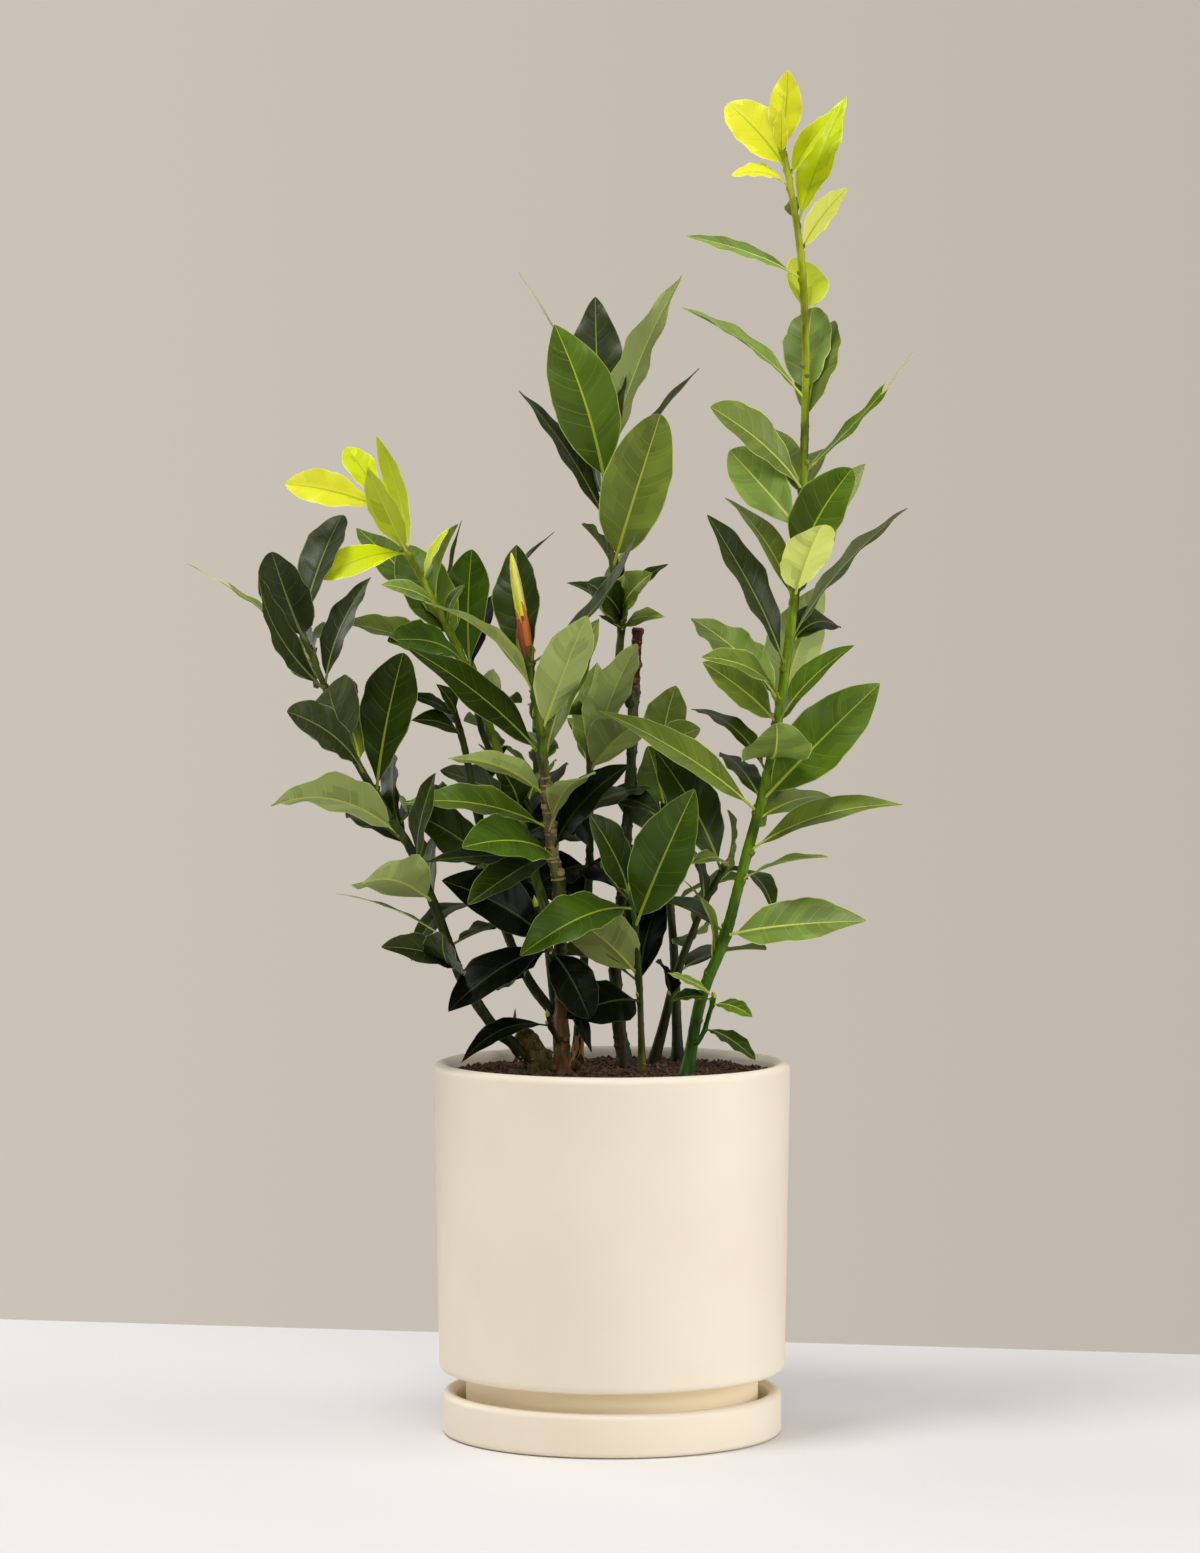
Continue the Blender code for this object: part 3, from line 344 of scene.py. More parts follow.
# Upper side, underside, midrib, side veins, margin and lower veins of a leaf of each tone. The
# margins are a real pale edge, made paler still as a painted edge highlight.
LEAF_COLOURS = {
    "y": ((225, 225, 45), (216, 220, 94), (180, 193, 35), (213, 216, 39), (238, 240, 119), (226, 230, 109)),
    "z": ((199, 213, 11), (206, 218, 51), (168, 188, 29), (192, 206, 21), (228, 236, 86), (216, 227, 78)),
    "l": ((203, 216, 51), (226, 235, 121), (215, 224, 102), (206, 218, 65), (233, 241, 131), (223, 232, 120)),
    "b": ((122, 145, 64), (157, 172, 132), (199, 209, 92), (150, 168, 72), (193, 205, 126), (170, 183, 118)),
    "g": ((82, 107, 21), (124, 145, 67), (168, 184, 53), (113, 135, 33), (162, 178, 83), (139, 158, 80)),
    "o": ((108, 124, 43), (154, 168, 91), (183, 189, 72), (135, 147, 53), (178, 189, 105), (162, 173, 96)),
    "s": ((114, 130, 51), (151, 164, 92), (189, 197, 89), (142, 155, 65), (186, 197, 117), (167, 179, 107)),
    # v: dark green made grey, a painted sheen of soft reflections
    "v": ((50, 58, 27), (79, 87, 51), (125, 133, 68), (79, 87, 43), (126, 135, 86), (103, 112, 72)),
    "d": ((38, 53, 5), (78, 91, 30), (122, 135, 36), (68, 84, 16), (118, 131, 57), (96, 109, 49)),
    # k: the dark green made near black, a painted shade for leaves deep in the crown
    "k": ((6, 13, 1), (19, 24, 3), (57, 70, 17), (25, 34, 6), (63, 73, 26), (37, 46, 14)),
    "e": ((61, 87, 13), (106, 124, 44), (150, 167, 41), (88, 112, 26), (144, 161, 66), (121, 138, 60)),
}
LEAF_PARTS = ("upper", "under", "midrib", "vein", "margin", "low_vein")
SHADED_PARTS = ("upper", "under")
LEAF_ROUGHNESS = (0.38, 0.62, 0.5, 0.42, 0.5, 0.6)
LEAF_SPECULAR = {"k": 0.07, "d": 0.12, "v": 0.18}
OTHER_SPECULAR = 0.2
STEM_SPECULAR = 0.15
# The shades carry a leaf's random tints and the painted light and shade between its two halves.
SHADES = (0.73, 0.82, 0.91, 1.0, 1.09, 1.18, 1.27)      # the blades of each tone come in these shades
CALM = {"y": 0.4, "z": 0.4, "l": 0.4, "s": 0.6}     # how much of the change in shade pale tones take
# Bark: raggedness of the colours' edges in metres, roughness, grains a metre, and colours from the
# soil up by height in metres
BARK_LOOKS = {
    "trunk_bark": (0.006, 0.6, 260.0, (
        (0.19, (128, 94, 58)), (0.222, (134, 98, 60)), (0.238, (72, 74, 34)), (0.30, (84, 90, 38)),
        (0.312, (140, 126, 84)), (0.352, (124, 116, 66)), (0.366, (92, 112, 34)), (0.43, (78, 104, 26)))),
    "stump_bark": (0.01, 0.75, 300.0, (
        (0.19, (62, 50, 28)), (0.20, (96, 84, 42)), (0.215, (120, 104, 52)))),
    "old_bark": (0.004, 0.6, 280.0, (
        (0.19, (70, 62, 38)), (0.22, (62, 62, 34)), (0.36, (80, 90, 54)), (0.392, (104, 112, 68)),
        (0.404, (98, 66, 52)), (0.43, (120, 70, 58)))),
    "tall_bark": (0.01, 0.42, 160.0, (
        (0.19, (48, 92, 8)), (0.26, (78, 120, 8)), (0.38, (114, 146, 8)), (0.52, (136, 160, 14)),
        (0.62, (162, 172, 24)), (0.70, (178, 182, 44)))),
    "lime_bark": (0.008, 0.45, 160.0, (
        (0.26, (72, 94, 20)), (0.40, (112, 138, 28)), (0.50, (196, 208, 50)))),
    "green_bark": (0.004, 0.5, 180.0, (
        (0.19, (140, 132, 44)), (0.204, (52, 74, 16)), (0.218, (92, 66, 34)), (0.226, (56, 80, 18)),
        (0.40, (92, 116, 34)))),
    "dark_bark": (0.01, 0.55, 200.0, (
        (0.19, (40, 46, 18)), (0.30, (62, 74, 28)), (0.45, (92, 104, 44)))),
}
EDGE_NOISE = 120.0
GRAIN_SHADES = ((0.36, (0.32, 0.32, 0.32, 1.0)), (0.62, (1.0, 1.0, 1.0, 1.0)))
# Colour and roughness of buds, scars and dry bits
SMALL_LOOKS = {
    "bud_red": ((140, 58, 24), 0.5), "bud_brown": ((112, 70, 26), 0.55), "bud_orange": ((196, 104, 36), 0.5),
    "bud_olive": ((120, 124, 30), 0.5), "bud_green": ((168, 180, 46), 0.45),
    "bud_yellow": ((228, 222, 60), 0.45), "bud_cream": ((230, 220, 140), 0.5),
    "bud_lime": ((186, 192, 34), 0.45), "scar_brown": ((104, 92, 38), 0.7),
    "ring_tan": ((158, 134, 90), 0.75), "ring_brown": ((124, 88, 64), 0.75), "fibre": ((162, 124, 74), 0.8),
    "bract": ((118, 84, 74), 0.7), "curl": ((160, 150, 84), 0.7), "lichen": ((116, 108, 58), 0.85)}

# The outline of a leaf: skew moves its widest place from the root (under 1) to the tip, and a low
# bluntness makes both ends round.
Form = namedtuple("Form", "skew bluntness")
OVAL = Form(0.95, 0.78)
ROUND = Form(1.0, 0.52)
SPOON = Form(1.4, 0.62)
LANCE = Form(0.85, 1.0)
TAIL = Form(0.62, 1.4)

# One leaf: the height of its root, the tip's offset from the root (right, away, up), its width,
# the turn of its upper side (0 faces the front, 90 up the stem, 180 the back), its arch and form.
Leaf = namedtuple("Leaf", "height right away up width turn arch form")

# A leaf in its place: two points and the unit normal of its upper side
Blade = namedtuple("Blade", "root tip width normal arch form")

# One shoot: its foot is on the soil, or on another shoot's side at a height and a heading in
# degrees. route follows the foot, and fork is the height where the bare limb ends and the leafy
# stem starts (None for a shoot that is leafy all the way). radii are at the foot and the tip, and
# bud is the tip bud's length and radius (None for a limb that was cut off and bears no leaves).
Shoot = namedtuple("Shoot", "name parent foot route radii fork bud back_leaves leaves")

TALL = Shoot(
    name="tall", parent=None, foot=(40, -15), fork=238, radii=(3.2, 1.7), bud=(7, 1.6), back_leaves=9,
    route=[(47, -15, 232), (60, -13, 266), (72, -9, 311), (84, -5, 357), (94, 0, 420), (100, 4, 478),
           (103, 6, 556), (101, 6, 620), (93, 5, 672), (90, 4, 682)],
    leaves=[
        Leaf(682, 3, -8, 42, 19, 15, 2, OVAL), Leaf(680, -1, -12, 23, 11, 40, 2, OVAL),
        Leaf(672, -31, -6, 36, 26, 20, 3, ROUND), Leaf(662, -32, -10, 6, 16, 65, 6, OVAL),
        Leaf(667, 25, -8, 37, 18, 52, 2, LANCE), Leaf(642, 27, 14, 71, 23, 35, 3, LANCE),
        Leaf(628, 25, 6, 35, 20, 130, 3, OVAL), Leaf(614, -62, -15, 22, 20, 65, 4, OVAL),
        Leaf(595, -2, 22, 31, 25, 20, 3, ROUND), Leaf(550, -66, -20, 48, 26, 70, 6, OVAL),
        Leaf(551, 5, 36, 50, 28, 20, 4, ROUND), Leaf(536, 17, 22, 58, 28, 40, 6, OVAL),
        Leaf(511, 59, 0, 66, 17, 72, -3, TAIL), Leaf(502, -50, -40, 43, 30, 45, 5, SPOON),
        Leaf(480, -38, -12, 43, 32, 25, 4, SPOON), Leaf(497, 16, 55, 29, 26, 50, 4, OVAL),
        Leaf(458, 28, -28, 55, 31, 30, 5, ROUND), Leaf(440, 40, 35, 77, 30, 135, 4, OVAL),
        Leaf(445, 12, -34, 38, 30, 152, 3, ROUND), Leaf(407, -42, -15, 82, 28, 55, 6, OVAL),
        Leaf(442, -36, 40, 57, 25, 55, 5, OVAL), Leaf(420, 64, 15, 73, 24, 110, 6, LANCE),
        Leaf(378, 26, 36, 74, 36, 155, 4, OVAL), Leaf(376, 40, -25, 44, 25, 60, 6, OVAL),
        Leaf(390, -43, -42, 24, 22, 65, 8, OVAL), Leaf(389, -47, 25, 45, 30, 45, 5, OVAL),
        Leaf(337, 62, -15, 63, 35, 20, 5, OVAL), Leaf(360, 1, -55, 20, 38, 5, 4, ROUND),
        Leaf(351, -40, 40, 34, 24, 70, 8, OVAL), Leaf(337, -20, 50, 24, 20, 50, 4, OVAL),
        Leaf(331, -85, -22, 55, 30, 55, 8, LANCE), Leaf(327, 43, 45, 10, 27, 57, 5, OVAL),
        Leaf(310, 82, -15, 26, 26, 62, 8, LANCE), Leaf(295, 45, -45, 15, 12, 86, 4, LANCE),
        Leaf(266, 73, -35, 10, 32, 42, 6, OVAL), Leaf(378, -40, -10, 33, 26, 40, 5, OVAL),
        Leaf(246, -14, 10, 49, 16, 70, 8, LANCE),
    ])

OLD = Shoot(
    name="old", parent=None, foot=(7, 32), fork=None, radii=(3.2, 2.6), bud=None, back_leaves=0,
    route=[(2, 31, 239), (8, 30, 320), (12, 28, 390), (14, 27, 429)], leaves=[])

CENTRE = Shoot(
    name="centre", parent="old", foot=(388, 235), fork=None, radii=(2.3, 1.5), bud=(6, 1.6), back_leaves=5,
    route=[(4, 16, 410), (5, 10, 435), (0, 8, 465), (-4, 4, 509)],
    leaves=[
        Leaf(503, -27, -22, 86, 37, 12, 4, OVAL), Leaf(507, -5, 20, 99, 33, 15, 4, OVAL),
        Leaf(506, 41, 10, 111, 30, 122, 6, LANCE), Leaf(481, 49, 40, 88, 22, 105, 8, LANCE),
        Leaf(461, 25, -25, 81, 36, 12, 5, ROUND), Leaf(482, -48, -10, 73, 26, 62, 5, LANCE),
        Leaf(501, -47, 30, 119, 9, 75, 8, TAIL), Leaf(430, -18, -45, 23, 22, 45, 5, ROUND),
        Leaf(429, -29, -30, 24, 16, 65, 6, LANCE), Leaf(432, 16, -35, 26, 24, 55, 5, OVAL),
        Leaf(427, 23, -35, 8, 15, 60, 5, LANCE), Leaf(427, -10, -25, 8, 20, 50, 4, OVAL),
        Leaf(430, 25, -5, 33, 18, 60, 7, OVAL),
    ])

TRUNK = Shoot(
    name="trunk", parent=None, foot=(-26, -6), fork=300, radii=(3.9, 2.3), bud=(49, 4.2), back_leaves=6,
    route=[(-27, -8, 232), (-28, -14, 285), (-32, -20, 317), (-38, -34, 378), (-45, -42, 420)],
    leaves=[
        Leaf(407, -8, 30, 66, 28, 25, 4, OVAL), Leaf(410, 56, 10, 70, 22, 72, -8, LANCE),
        Leaf(373, 24, -35, 63, 31, 150, 5, OVAL), Leaf(358, 29, -6, 76, 30, 50, 5, OVAL),
        Leaf(361, -72, -25, 59, 30, 52, 6, LANCE), Leaf(393, -57, -35, 50, 24, 108, 9, LANCE),
        Leaf(340, -51, -50, 22, 26, 118, 7, OVAL), Leaf(325, 19, -50, 27, 26, 130, 8, SPOON),
        Leaf(311, 40, -45, 47, 27, 50, 6, OVAL), Leaf(308, -47, -60, 8, 36, 55, 8, OVAL),
        Leaf(309, -44, -55, -23, 25, 55, 5, OVAL), Leaf(323, -77, -30, 14, 28, 60, 7, LANCE),
        Leaf(305, -69, -28, 1, 24, 62, 5, LANCE),
    ])

# The gnarled stump that is fused to the trunk's foot
STUMP = Shoot(
    name="stump", parent=None, foot=(-38, -7), fork=None, radii=(5.4, 4.6), bud=None, back_leaves=0,
    route=[(-39, -7, 200), (-42, -8, 205), (-46, -7, 212)], leaves=[])

LEFT = Shoot(
    name="left", parent="stump", foot=(205, 200), fork=240, radii=(3.2, 1.6), bud=(8, 1.7), back_leaves=9,
    route=[(-53, -14, 209), (-61, -18, 216), (-72, -24, 232), (-81, -26, 248), (-93, -26, 281),
           (-107, -26, 314), (-119, -27, 332), (-138, -30, 366), (-153, -32, 403), (-165, -34, 432)],
    leaves=[
        Leaf(422, -16, -28, 47, 29, 20, 4, ROUND), Leaf(396, -32, -45, 63, 26, 60, -7, OVAL),
        Leaf(428, 20, 35, 61, 26, 40, 4, SPOON), Leaf(398, 24, 10, 58, 24, 50, 5, OVAL),
        Leaf(409, -67, -15, 54, 14, 80, 6, TAIL), Leaf(365, -9, -55, 34, 37, 155, 4, ROUND),
        Leaf(352, -36, -40, 35, 26, 52, 5, SPOON), Leaf(341, 14, 10, 75, 34, 22, 4, SPOON),
        Leaf(317, -7, 35, 45, 25, 60, 5, OVAL), Leaf(318, -67, -40, 19, 34, 132, 16, ROUND),
        Leaf(313, -34, 45, 18, 26, 50, 5, OVAL), Leaf(284, -35, -60, 14, 36, 140, 7, ROUND),
        Leaf(265, -57, -30, 26, 9, 86, 4, TAIL), Leaf(248, -39, -45, 16, 22, 62, 6, OVAL),
        Leaf(250, -6, -55, 22, 26, 40, 5, ROUND), Leaf(303, 10, -15, 51, 20, 60, 5, OVAL),
        Leaf(400, -11, 20, 29, 26, 45, 4, OVAL),
    ])

LIME = Shoot(
    name="lime", parent="trunk", foot=(268, 130), fork=326, radii=(3.0, 1.5), bud=(5, 1.4), back_leaves=5,
    route=[(-39, 10, 290), (-52, 18, 337), (-71, 20, 390), (-87, 14, 427), (-101, 8, 454), (-125, 0, 498)],
    leaves=[
        Leaf(492, -51, -15, 13, 21, 25, 4, SPOON), Leaf(494, -19, 8, 31, 17, 30, 3, SPOON),
        Leaf(468, -20, -12, 46, 20, 35, 3, OVAL), Leaf(467, -17, -6, 64, 14, 35, -5, OVAL),
        Leaf(468, -44, -30, -13, 20, 38, 6, SPOON), Leaf(453, 14, -10, 29, 7, 50, 3, OVAL),
        Leaf(441, -28, -30, 11, 13, 50, 4, OVAL), Leaf(429, 10, -20, 23, 10, 50, 3, OVAL),
        Leaf(408, -68, -20, 24, 28, 60, 6, OVAL), Leaf(407, -41, -28, 15, 26, 55, 9, SPOON),
        Leaf(420, -28, 28, 53, 30, 25, 4, ROUND), Leaf(427, -52, 40, 56, 28, 45, 5, OVAL),
        Leaf(330, -12, -5, 26, 26, 45, 4, OVAL), Leaf(329, -43, -15, 23, 24, 125, 6, OVAL),
    ])

INNER = Shoot(
    name="inner", parent="trunk", foot=(222, 120), fork=262, radii=(2.9, 1.7), bud=(7, 1.6), back_leaves=5,
    route=[(-44, 8, 240), (-57, 18, 267), (-65, 22, 299), (-73, 24, 331), (-79, 24, 364), (-85, 22, 386)],
    leaves=[
        Leaf(381, -26, -25, 12, 13, 60, 3, LANCE), Leaf(371, -26, -30, 9, 16, 55, 4, LANCE),
        Leaf(382, -10, -12, 17, 12, 50, 3, LANCE), Leaf(300, -43, -35, 32, 28, 40, 6, OVAL),
        Leaf(275, -47, -40, -22, 20, 72, 16, OVAL),
    ])

UPPER_LEFT = Shoot(
    name="upper_left", parent="trunk", foot=(289, 70), fork=None, radii=(2.2, 1.5), bud=(5, 1.4),
    back_leaves=5,
    route=[(-28, 21, 297), (-44, 34, 332), (-67, 40, 365), (-74, 42, 390), (-77, 42, 411)],
    leaves=[
        Leaf(405, 1, -10, 66, 26, 20, 2, SPOON), Leaf(407, -5, 15, 80, 16, 100, 9, LANCE),
        Leaf(405, 14, 15, 43, 24, 50, 5, OVAL), Leaf(398, 17, -35, -11, 28, 130, 5, OVAL),
        Leaf(405, 45, 20, 76, 16, 72, 8, LANCE),
    ])

LOW = Shoot(
    name="low", parent="trunk", foot=(250, 245), fork=None, radii=(2.0, 1.4), bud=(6, 1.6), back_leaves=0,
    route=[(-34, -25, 262), (-40, -32, 283)],
    leaves=[
        Leaf(261, -52, -30, -32, 28, 45, 6, OVAL), Leaf(259, -28, -20, -21, 26, 55, 6, OVAL),
        Leaf(265, -54, -35, 33, 34, 35, 5, OVAL), Leaf(259, 21, -14, -35, 25, 20, 5, ROUND),
        Leaf(256, 21, -4, -51, 16, 55, 3, OVAL), Leaf(272, -34, 26, 20, 28, 40, 5, OVAL),
    ])

YOUNG = Shoot(
    name="young", parent=None, foot=(16, 6), fork=226, radii=(1.8, 1.4), bud=(12, 2.2), back_leaves=3,
    route=[(15, 2, 231), (12, -6, 274), (8, -10, 290)],
    leaves=[
        Leaf(270, 31, -35, 75, 35, 15, 5, OVAL), Leaf(287, -21, -35, 45, 28, 50, 4, OVAL),
        Leaf(280, -59, -45, -22, 31, 45, 12, OVAL), Leaf(243, -36, -40, 32, 38, 145, 6, ROUND),
        Leaf(237, 12, 25, 47, 27, 30, 5, OVAL), Leaf(230, -39, -30, -6, 32, 40, 6, OVAL),
    ])

RIGHT = Shoot(
    name="right", parent=None, foot=(23, 48), fork=220, radii=(2.7, 1.6), bud=(6, 1.6), back_leaves=4,
    route=[(28, 46, 213), (36, 42, 244), (51, 36, 282), (61, 32, 300)],
    leaves=[
        Leaf(297, -36, -10, 66, 32, 35, 6, OVAL), Leaf(264, 18, 30, 32, 16, 60, 4, LANCE),
        Leaf(227, -8, -30, 23, 16, 120, 5, LANCE), Leaf(300, -19, -45, 4, 14, 70, 6, LANCE),
        Leaf(298, 26, -45, -21, 18, 72, 9, LANCE),
    ])

MIDDLE = Shoot(
    name="middle", parent=None, foot=(-19, 50), fork=296, radii=(2.8, 1.6), bud=(6, 1.6), back_leaves=5,
    route=[(-15, 46, 249), (-12, 38, 303), (-12, 30, 347), (-12, 28, 366)],
    leaves=[
        Leaf(355, 25, -29, 66, 28, 140, 4, OVAL), Leaf(351, 27, -40, 28, 30, 150, 4, OVAL),
        Leaf(353, 4, 16, 57, 26, 45, 5, OVAL), Leaf(332, 37, -25, -2, 24, 72, 6, OVAL),
        Leaf(309, -19, -20, 27, 26, 60, 5, OVAL), Leaf(303, 24, -20, -14, 30, 35, 5, OVAL),
        Leaf(300, -30, -12, -12, 28, 40, 5, OVAL), Leaf(325, -34, -14, -6, 28, 40, 5, OVAL),
    ])

BACK_RIGHT = Shoot(
    name="back_right", parent=None, foot=(36, 60), fork=262, radii=(2.8, 1.6), bud=(6, 1.6), back_leaves=8,
    route=[(34, 66, 250), (29, 70, 310), (28, 72, 358)],
    leaves=[
        Leaf(355, 7, 0, 42, 26, 25, 4, OVAL), Leaf(353, 20, -12, 21, 22, 50, 8, SPOON),
        Leaf(332, -9, -8, 33, 28, 20, 3, OVAL), Leaf(300, -34, -30, -8, 30, 30, 5, OVAL),
        Leaf(280, -30, -26, -24, 28, 40, 5, OVAL), Leaf(320, -30, -30, 20, 28, 35, 5, OVAL),
    ])

BACK_LEFT = Shoot(
    name="back_left", parent=None, foot=(-28, 56), fork=262, radii=(2.8, 1.6), bud=(6, 1.6), back_leaves=9,
    route=[(-34, 66, 250), (-40, 74, 315), (-42, 78, 380)],
    leaves=[
        Leaf(300, -36, -32, -10, 30, 35, 5, OVAL), Leaf(285, -40, -36, 10, 28, 40, 5, OVAL),
        Leaf(315, -34, -34, 24, 28, 35, 5, OVAL), Leaf(330, 30, -30, -16, 30, 30, 5, OVAL),
        Leaf(290, 26, -28, -16, 28, 40, 5, OVAL),
    ])

# Two short sprouts close to the soil
SPROUT_LEFT = Shoot(
    name="sprout_left", parent="trunk", foot=(211, 250), fork=None, radii=(1.5, 1.2), bud=(4, 1.3),
    back_leaves=0,
    route=[(-32, -15, 217), (-34, -19, 224)],
    leaves=[
        Leaf(218, -47, -25, -17, 16, 55, 9, LANCE),
    ])

SPROUT_RIGHT = Shoot(
    name="sprout_right", parent="tall", foot=(210, 300), fork=None, radii=(1.4, 1.1), bud=(3, 1.2),
    back_leaves=0,
    route=[(49, -20, 217), (54, -21, 234)],
    leaves=[
        Leaf(230, 21, -10, -6, 14, 60, 3, OVAL), Leaf(217, 27, -15, -15, 15, 62, 4, OVAL),
        Leaf(234, -25, -14, 14, 8, 60, 2, LANCE), Leaf(232, -22, -10, 1, 14, 70, 3, OVAL),
    ])

SHOOTS = (TALL, OLD, CENTRE, TRUNK, STUMP, LEFT, LIME, INNER, UPPER_LEFT, LOW, YOUNG, RIGHT, MIDDLE,
          BACK_RIGHT, BACK_LEFT, SPROUT_LEFT, SPROUT_RIGHT)

# Leaf tones of each shoot: one letter a row, then the letters that its back leaves take in turn.
# y z l: yellow, olive-yellow, lime; b g o: bright, mid and olive green; s: sage; v: dark green greyed by a
# painted sheen;
# e d: fresh dark and dark green; k: near-black green, a painted shade for leaves deep inside the crown.
TONES = {
    "tall": ("yyyyzzyblbbsgsbogslvovsgobgbddooosboo", "dgo"),
    "centre": ("gvsvovodvosdd", "do"),
    "trunk": ("dvssdoookedgd", "ddg"),
    "left": ("vvvvsvvddsdssvvdv", "ddo"),
    "lime": ("yzllzlbeoeggdv", "gdo"),
    "inner": ("ddddd", "dkd"),
    "upper_left": ("edkov", "dgd"),
    "low": ("kkkkkk", "d"),
    "young": ("edeokk", "dg"),
    "right": ("dokod", "dg"),
    "middle": ("soodkkkk", "dkg"),
    "back_right": ("ssgddd", "dgd"),
    "back_left": ("ddkdk", "dgd"),
    "sprout_left": ("k", "d"),
    "sprout_right": ("gdsd", "d"),
}


# ---------------------------------------------------------------- the shoots' rule, as in the solids

def unit(vector):
    return vector / np.linalg.norm(vector)


def square_to(step, toward):
    """The unit vector nearest to toward that is square to a unit step."""
    return unit(toward - step * toward.dot(step))


def lengths_along(line):
    return np.concatenate([[0.0], np.cumsum(np.linalg.norm(np.diff(line, axis=0), axis=1))])


def smooth_line(points, step):
    """A Catmull-Rom curve through the points, with a ring about every step."""
    points = np.array(points, dtype=float)
    padded = np.vstack([2 * points[0] - points[1], points, 2 * points[-1] - points[-2]])
    dense = []
    for a, b, c, d in zip(padded, padded[1:], padded[2:], padded[3:]):
        for t in np.linspace(0.0, 1.0, CURVE_STEPS, endpoint=False):
            dense.append(0.5 * (2 * b + (c - a) * t + (2 * a - 5 * b + 4 * c - d) * t**2
                                + (3 * b - a - 3 * c + d) * t**3))
    dense = np.array(dense + [points[-1]])
    lengths = lengths_along(dense)
    count = max(3, int(round(lengths[-1] / step)) + 1)
    stations = np.linspace(0.0, lengths[-1], count)
    return np.column_stack([np.interp(stations, lengths, dense[:, axis]) for axis in range(3)])


def point_at_height(line, height):
    """Where a stem that climbs passes a height, its direction there and the ring before it."""
    index = int(np.clip(np.searchsorted(line[:, 2], height) - 1, 0, len(line) - 2))
    low, high = line[index], line[index + 1]
    share = float(np.clip((height - low[2]) / (high[2] - low[2]), 0.0, 1.0))
    return low + share * (high - low), unit(high - low), index


def first_points(shoot, built):
    """The two points that a shoot starts with, on the soil or on its parent's side."""
    if shoot.parent is None:
        x, y = shoot.foot
        return [(x, y, FOOT_LEVEL), (x, y, FOOT_LEVEL + STRAIGHT_END)]
    line, radii = built[shoot.parent]
    height, heading = shoot.foot
    point, step, index = point_at_height(line, height)
    toward = np.array([math.cos(math.radians(heading)), math.sin(math.radians(heading)), 0.0])
    outward = square_to(step, toward)
    on_surface = point + outward * (radii[index] + GAP)
    return [tuple(on_surface), tuple(on_surface + outward * STRAIGHT_END)]


def stem_rings(shoot, start, step):
    """A shoot's middle line and its radius at each ring, with a flare where it stands in the soil."""
    line = np.vstack([start[0], smooth_line(start[1:] + shoot.route, step)])
    lengths = lengths_along(line)
    foot, tip = shoot.radii
    radii = foot + (tip - foot) * lengths / lengths[-1]
    if shoot.parent is None:
        radii = radii * (1.0 + FLARE * np.exp(-lengths / FLARE_HEIGHT))
    return line, radii


def leafy_part(line, height):
    """The part of a stem above its fork, as the solids split it."""
    if height is None:
        return line
    point, step, index = point_at_height(line, height)
    clear = FORK_CLEARANCE * STRAIGHT_END
    keep = [i for i in range(index + 1, len(line)) if np.linalg.norm(line[i] - point) > clear]
    ends = [point + step * GAP / 2, point + step * (GAP / 2 + STRAIGHT_END)]
    return np.vstack([ends, line[keep]])


def upper_side(direction, turn, stem_step):
    """Unit normal of a leaf's upper side for its turn in degrees."""
    front = (FRONT - FRONT.dot(direction) * direction).normalized()
    across = direction.cross(front)
    if across.dot(stem_step) < 0.0:
        across.negate()
    angle = math.radians(turn)
    return math.cos(angle) * front + math.sin(angle) * across


def back_leaves(shoot, line, draw):
    """Leaves by rule on the far side: evenly up the stem, turned by the golden angle.

    Towards the tip they get shorter and point more nearly straight back.
    """
    low, high = line[0][2] + BACK_START, line[-1][2]
    for number in range(shoot.back_leaves):
        share = (number + draw.uniform(*BACK_PLACE)) / shoot.back_leaves
        arc_share = (number * GOLDEN_ANGLE / 360.0 + draw.uniform(-BACK_STRAY, BACK_STRAY)) % 1.0
        spread = BACK_SPREAD * (1.0 - BACK_NARROWING * share)
        bearing = math.radians(90.0 + spread * (arc_share - 0.5))
        climb = math.radians(draw.uniform(*BACK_RISE))
        length = draw.uniform(*BACK_LENGTH) * (1.0 - BACK_TAPER * share)
        flat = length * math.cos(climb)
        yield Leaf(
            height=low + (high - low) * share, right=flat * math.cos(bearing),
            away=flat * math.sin(bearing), up=length * math.sin(climb), width=BACK_WIDTH * length,
            turn=draw.uniform(*BACK_TURN), arch=draw.uniform(*BACK_ARCH), form=OVAL)


def solid_points(node):
    """The corners of a CAD node in millimetres, for looking up."""
    vertices = frame["nodes"][node].data.vertices
    tree = KDTree(len(vertices))
    for index, vertex in enumerate(vertices):
        tree.insert(vertex.co / MM, index)
    tree.balance()
    return tree


def placed_blade(leaf, line, corners):
    """The leaf where its solid found room, at one of the nudges in depth; None if it was left out."""
    root, step, _ = point_at_height(line, leaf.height)
    root, step = Vector(root), Vector(step)
    for nudge in DEPTH_NUDGES:
        reach = Vector((leaf.right, leaf.away + nudge, leaf.up))
        if corners.find(root + reach)[2] < TIP_MATCH:
            normal = upper_side(reach.normalized(), leaf.turn, step)
            return Blade(root, root + reach, leaf.width, normal, leaf.arch, leaf.form)
    return None


def placed_blades(shoot, line, draw):
    """The blades of a shoot that found room, each with its tone."""
    leafy = leafy_part(line, shoot.fork)
    corners = solid_points(shoot.name + "_leaves")
    rows = shoot.leaves + list(back_leaves(shoot, leafy, draw))
    row_tones, back_tones = TONES[shoot.name]
    tones = row_tones + back_tones * len(rows)
    found = [(placed_blade(leaf, leafy, corners), tone) for leaf, tone in zip(rows, tones)]
    return [(blade, tone) for blade, tone in found if blade is not None]


# ---------------------------------------------------------------- materials

